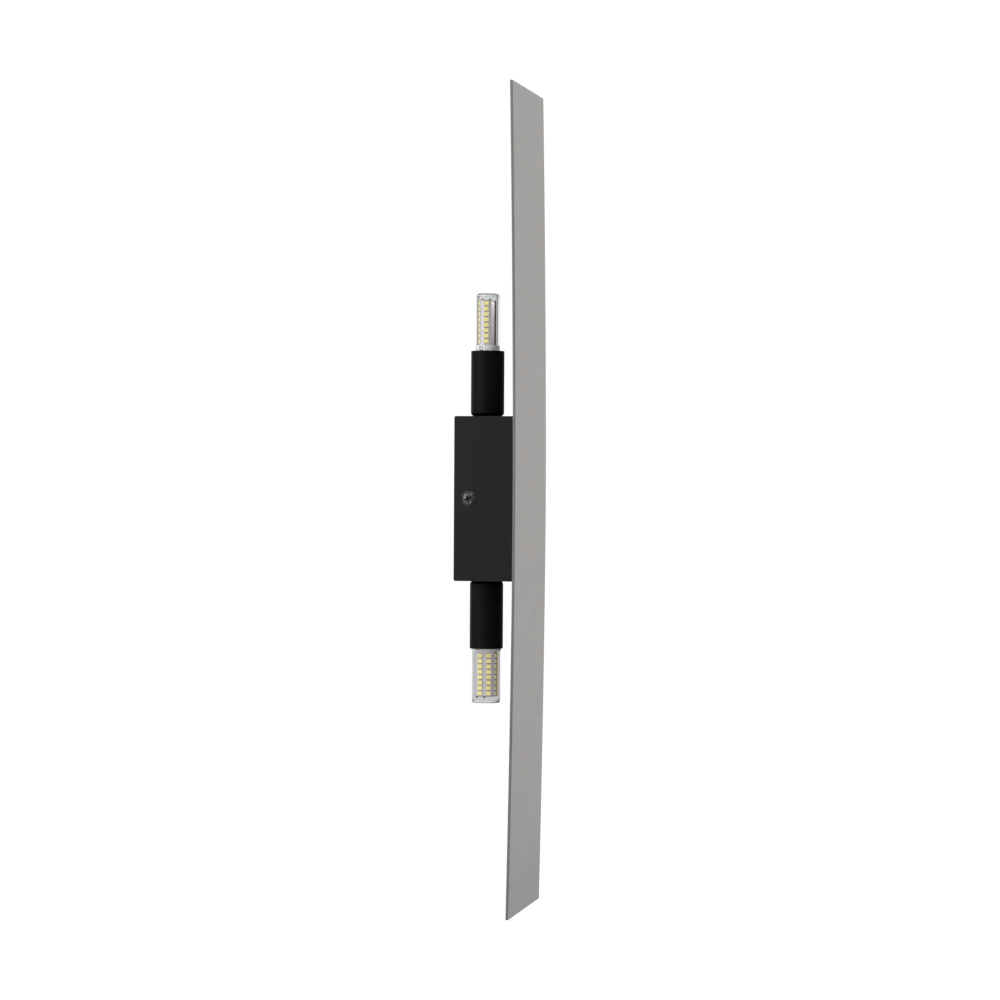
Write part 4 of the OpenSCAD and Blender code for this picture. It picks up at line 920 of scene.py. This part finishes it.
# Each light's place and size in metres, and its power in watts. The two small ones only make highlights.
LIGHTS = {
    "key": ((-1.25, 1.25, 0.7), 2.0, 34),
    "top": ((-0.4, 0.7, 2.2), 2.0, 8),
    "side": ((2.2, -1.2, 0.2), 1.8, 7.5),
    "front": ((0.2, -2.2, 0.7), 1.8, 7.5),
    "fill": ((1.7, 1.5, 0.4), 2.0, 9),
    "glint_high": ((-0.95, -0.9, 1.85), 0.7, 9),
    "glint_low": ((-0.55, -0.33, -0.55), 0.25, 0.7),
}
# The photo's camera: place, yaw, pitch and roll in degrees, and focal length for a sensor 36 mm wide.
CAMERA_AT, CAMERA_TURNS = (-2.3183, -0.492, 0.0239), (11.2896, -0.6063, 0.3128)
CAMERA_LENS, CAMERA_SENSOR, CAMERA_NEAR, CAMERA_FAR = 116.113, 36, 0.05, 60


def light_path(tree):
    """What kind of ray this is, and 1 for the eye's own rays that have come through a clear cover."""
    ray = tree.nodes.new("ShaderNodeLightPath").outputs
    return ray, reckon(tree, "SUBTRACT", ray["Is Transmission Ray"], ray["Diffuse Depth"])


def floor():
    """A pale floor that reads as paper white to the eye, and a little darker through the covers."""
    pale = material("pale_floor", (0.86, 0.86, 0.86), 0.7, 0.0, 40, 0.02, 0.02)
    tree = pale.node_tree
    glow = tree.nodes.new("ShaderNodeEmission")
    glow.inputs[0].default_value = PAPER
    ray, through = light_path(tree)
    tree.links.new(reckon(tree, "MAXIMUM", ray["Is Camera Ray"], FLOOR_THROUGH), glow.inputs[1])
    mixed(tree, reckon(tree, "MAXIMUM", ray["Is Camera Ray"], through), glow.outputs[0])
    corners = [(x * FLOOR_HALF, y * FLOOR_HALF, FLOOR_Z) for x, y in CORNERS]
    made("floor", corners, [(0, 1, 2, 3)], mats=(pale,))


def studio():
    """A white room: paper white to the eye, and through the covers darker towards the wall."""
    world = bpy.data.worlds.new("studio")
    bpy.context.scene.world = world
    world.use_nodes = True
    tree = world.node_tree
    tree.nodes.clear()
    sky = tree.nodes.new("ShaderNodeBackground")
    sky.inputs[0].default_value = PAPER
    ray, through = light_path(tree)
    way = tree.nodes.new("ShaderNodeSeparateXYZ")
    tree.links.new(tree.nodes.new("ShaderNodeTexCoord").outputs["Generated"], way.inputs[0])
    gentle = reckon(tree, "MULTIPLY_ADD", way.outputs[1], -GENTLE, SEEN_THROUGH)
    steep = reckon(tree, "MULTIPLY_ADD", way.outputs[1], -1.0, 1.0)
    through = reckon(tree, "MULTIPLY", through, reckon(tree, "MINIMUM", gentle, steep))
    soft = reckon(tree, "MULTIPLY_ADD", ray["Is Transmission Ray"], -SOFT_LOSS, SOFT_LIGHT)
    strength = reckon(tree, "MAXIMUM", reckon(tree, "MAXIMUM", through, soft), ray["Is Camera Ray"])
    tree.links.new(strength, sky.inputs[1])
    tree.links.new(sky.outputs[0], tree.nodes.new("ShaderNodeOutputWorld").inputs[0])


def lights():
    for name, (place, size, power) in LIGHTS.items():
        lamp = bpy.data.lights.new(name, "AREA")
        lamp.size = size
        lamp.energy = power
        light = linked(name, lamp)
        light.location = place
        light.rotation_euler = (-Vector(place)).to_track_quat("-Z", "Y").to_euler()
        light.visible_camera = False
        light.visible_diffuse = size > SMALL
        light.visible_transmission = False


def camera():
    yaw, pitch, roll = (math.radians(a) for a in CAMERA_TURNS)
    ahead = Vector((math.cos(yaw) * math.cos(pitch), math.sin(yaw) * math.cos(pitch), math.sin(pitch)))
    right = Vector((math.sin(yaw), -math.cos(yaw), 0))
    up = right.cross(ahead)
    right, up = right * math.cos(roll) + up * math.sin(roll), up * math.cos(roll) - right * math.sin(roll)
    data = bpy.data.cameras.new("camera")
    data.sensor_width = CAMERA_SENSOR
    data.lens = CAMERA_LENS
    data.clip_start, data.clip_end = CAMERA_NEAR, CAMERA_FAR
    obj = linked("camera", data)
    obj.matrix_world = shift(*CAMERA_AT) @ Matrix((right, up, -ahead)).transposed().to_4x4()
    bpy.context.scene.camera = obj


floor()
studio()
lights()
camera()
bpy.context.scene.view_settings.view_transform = "Standard"
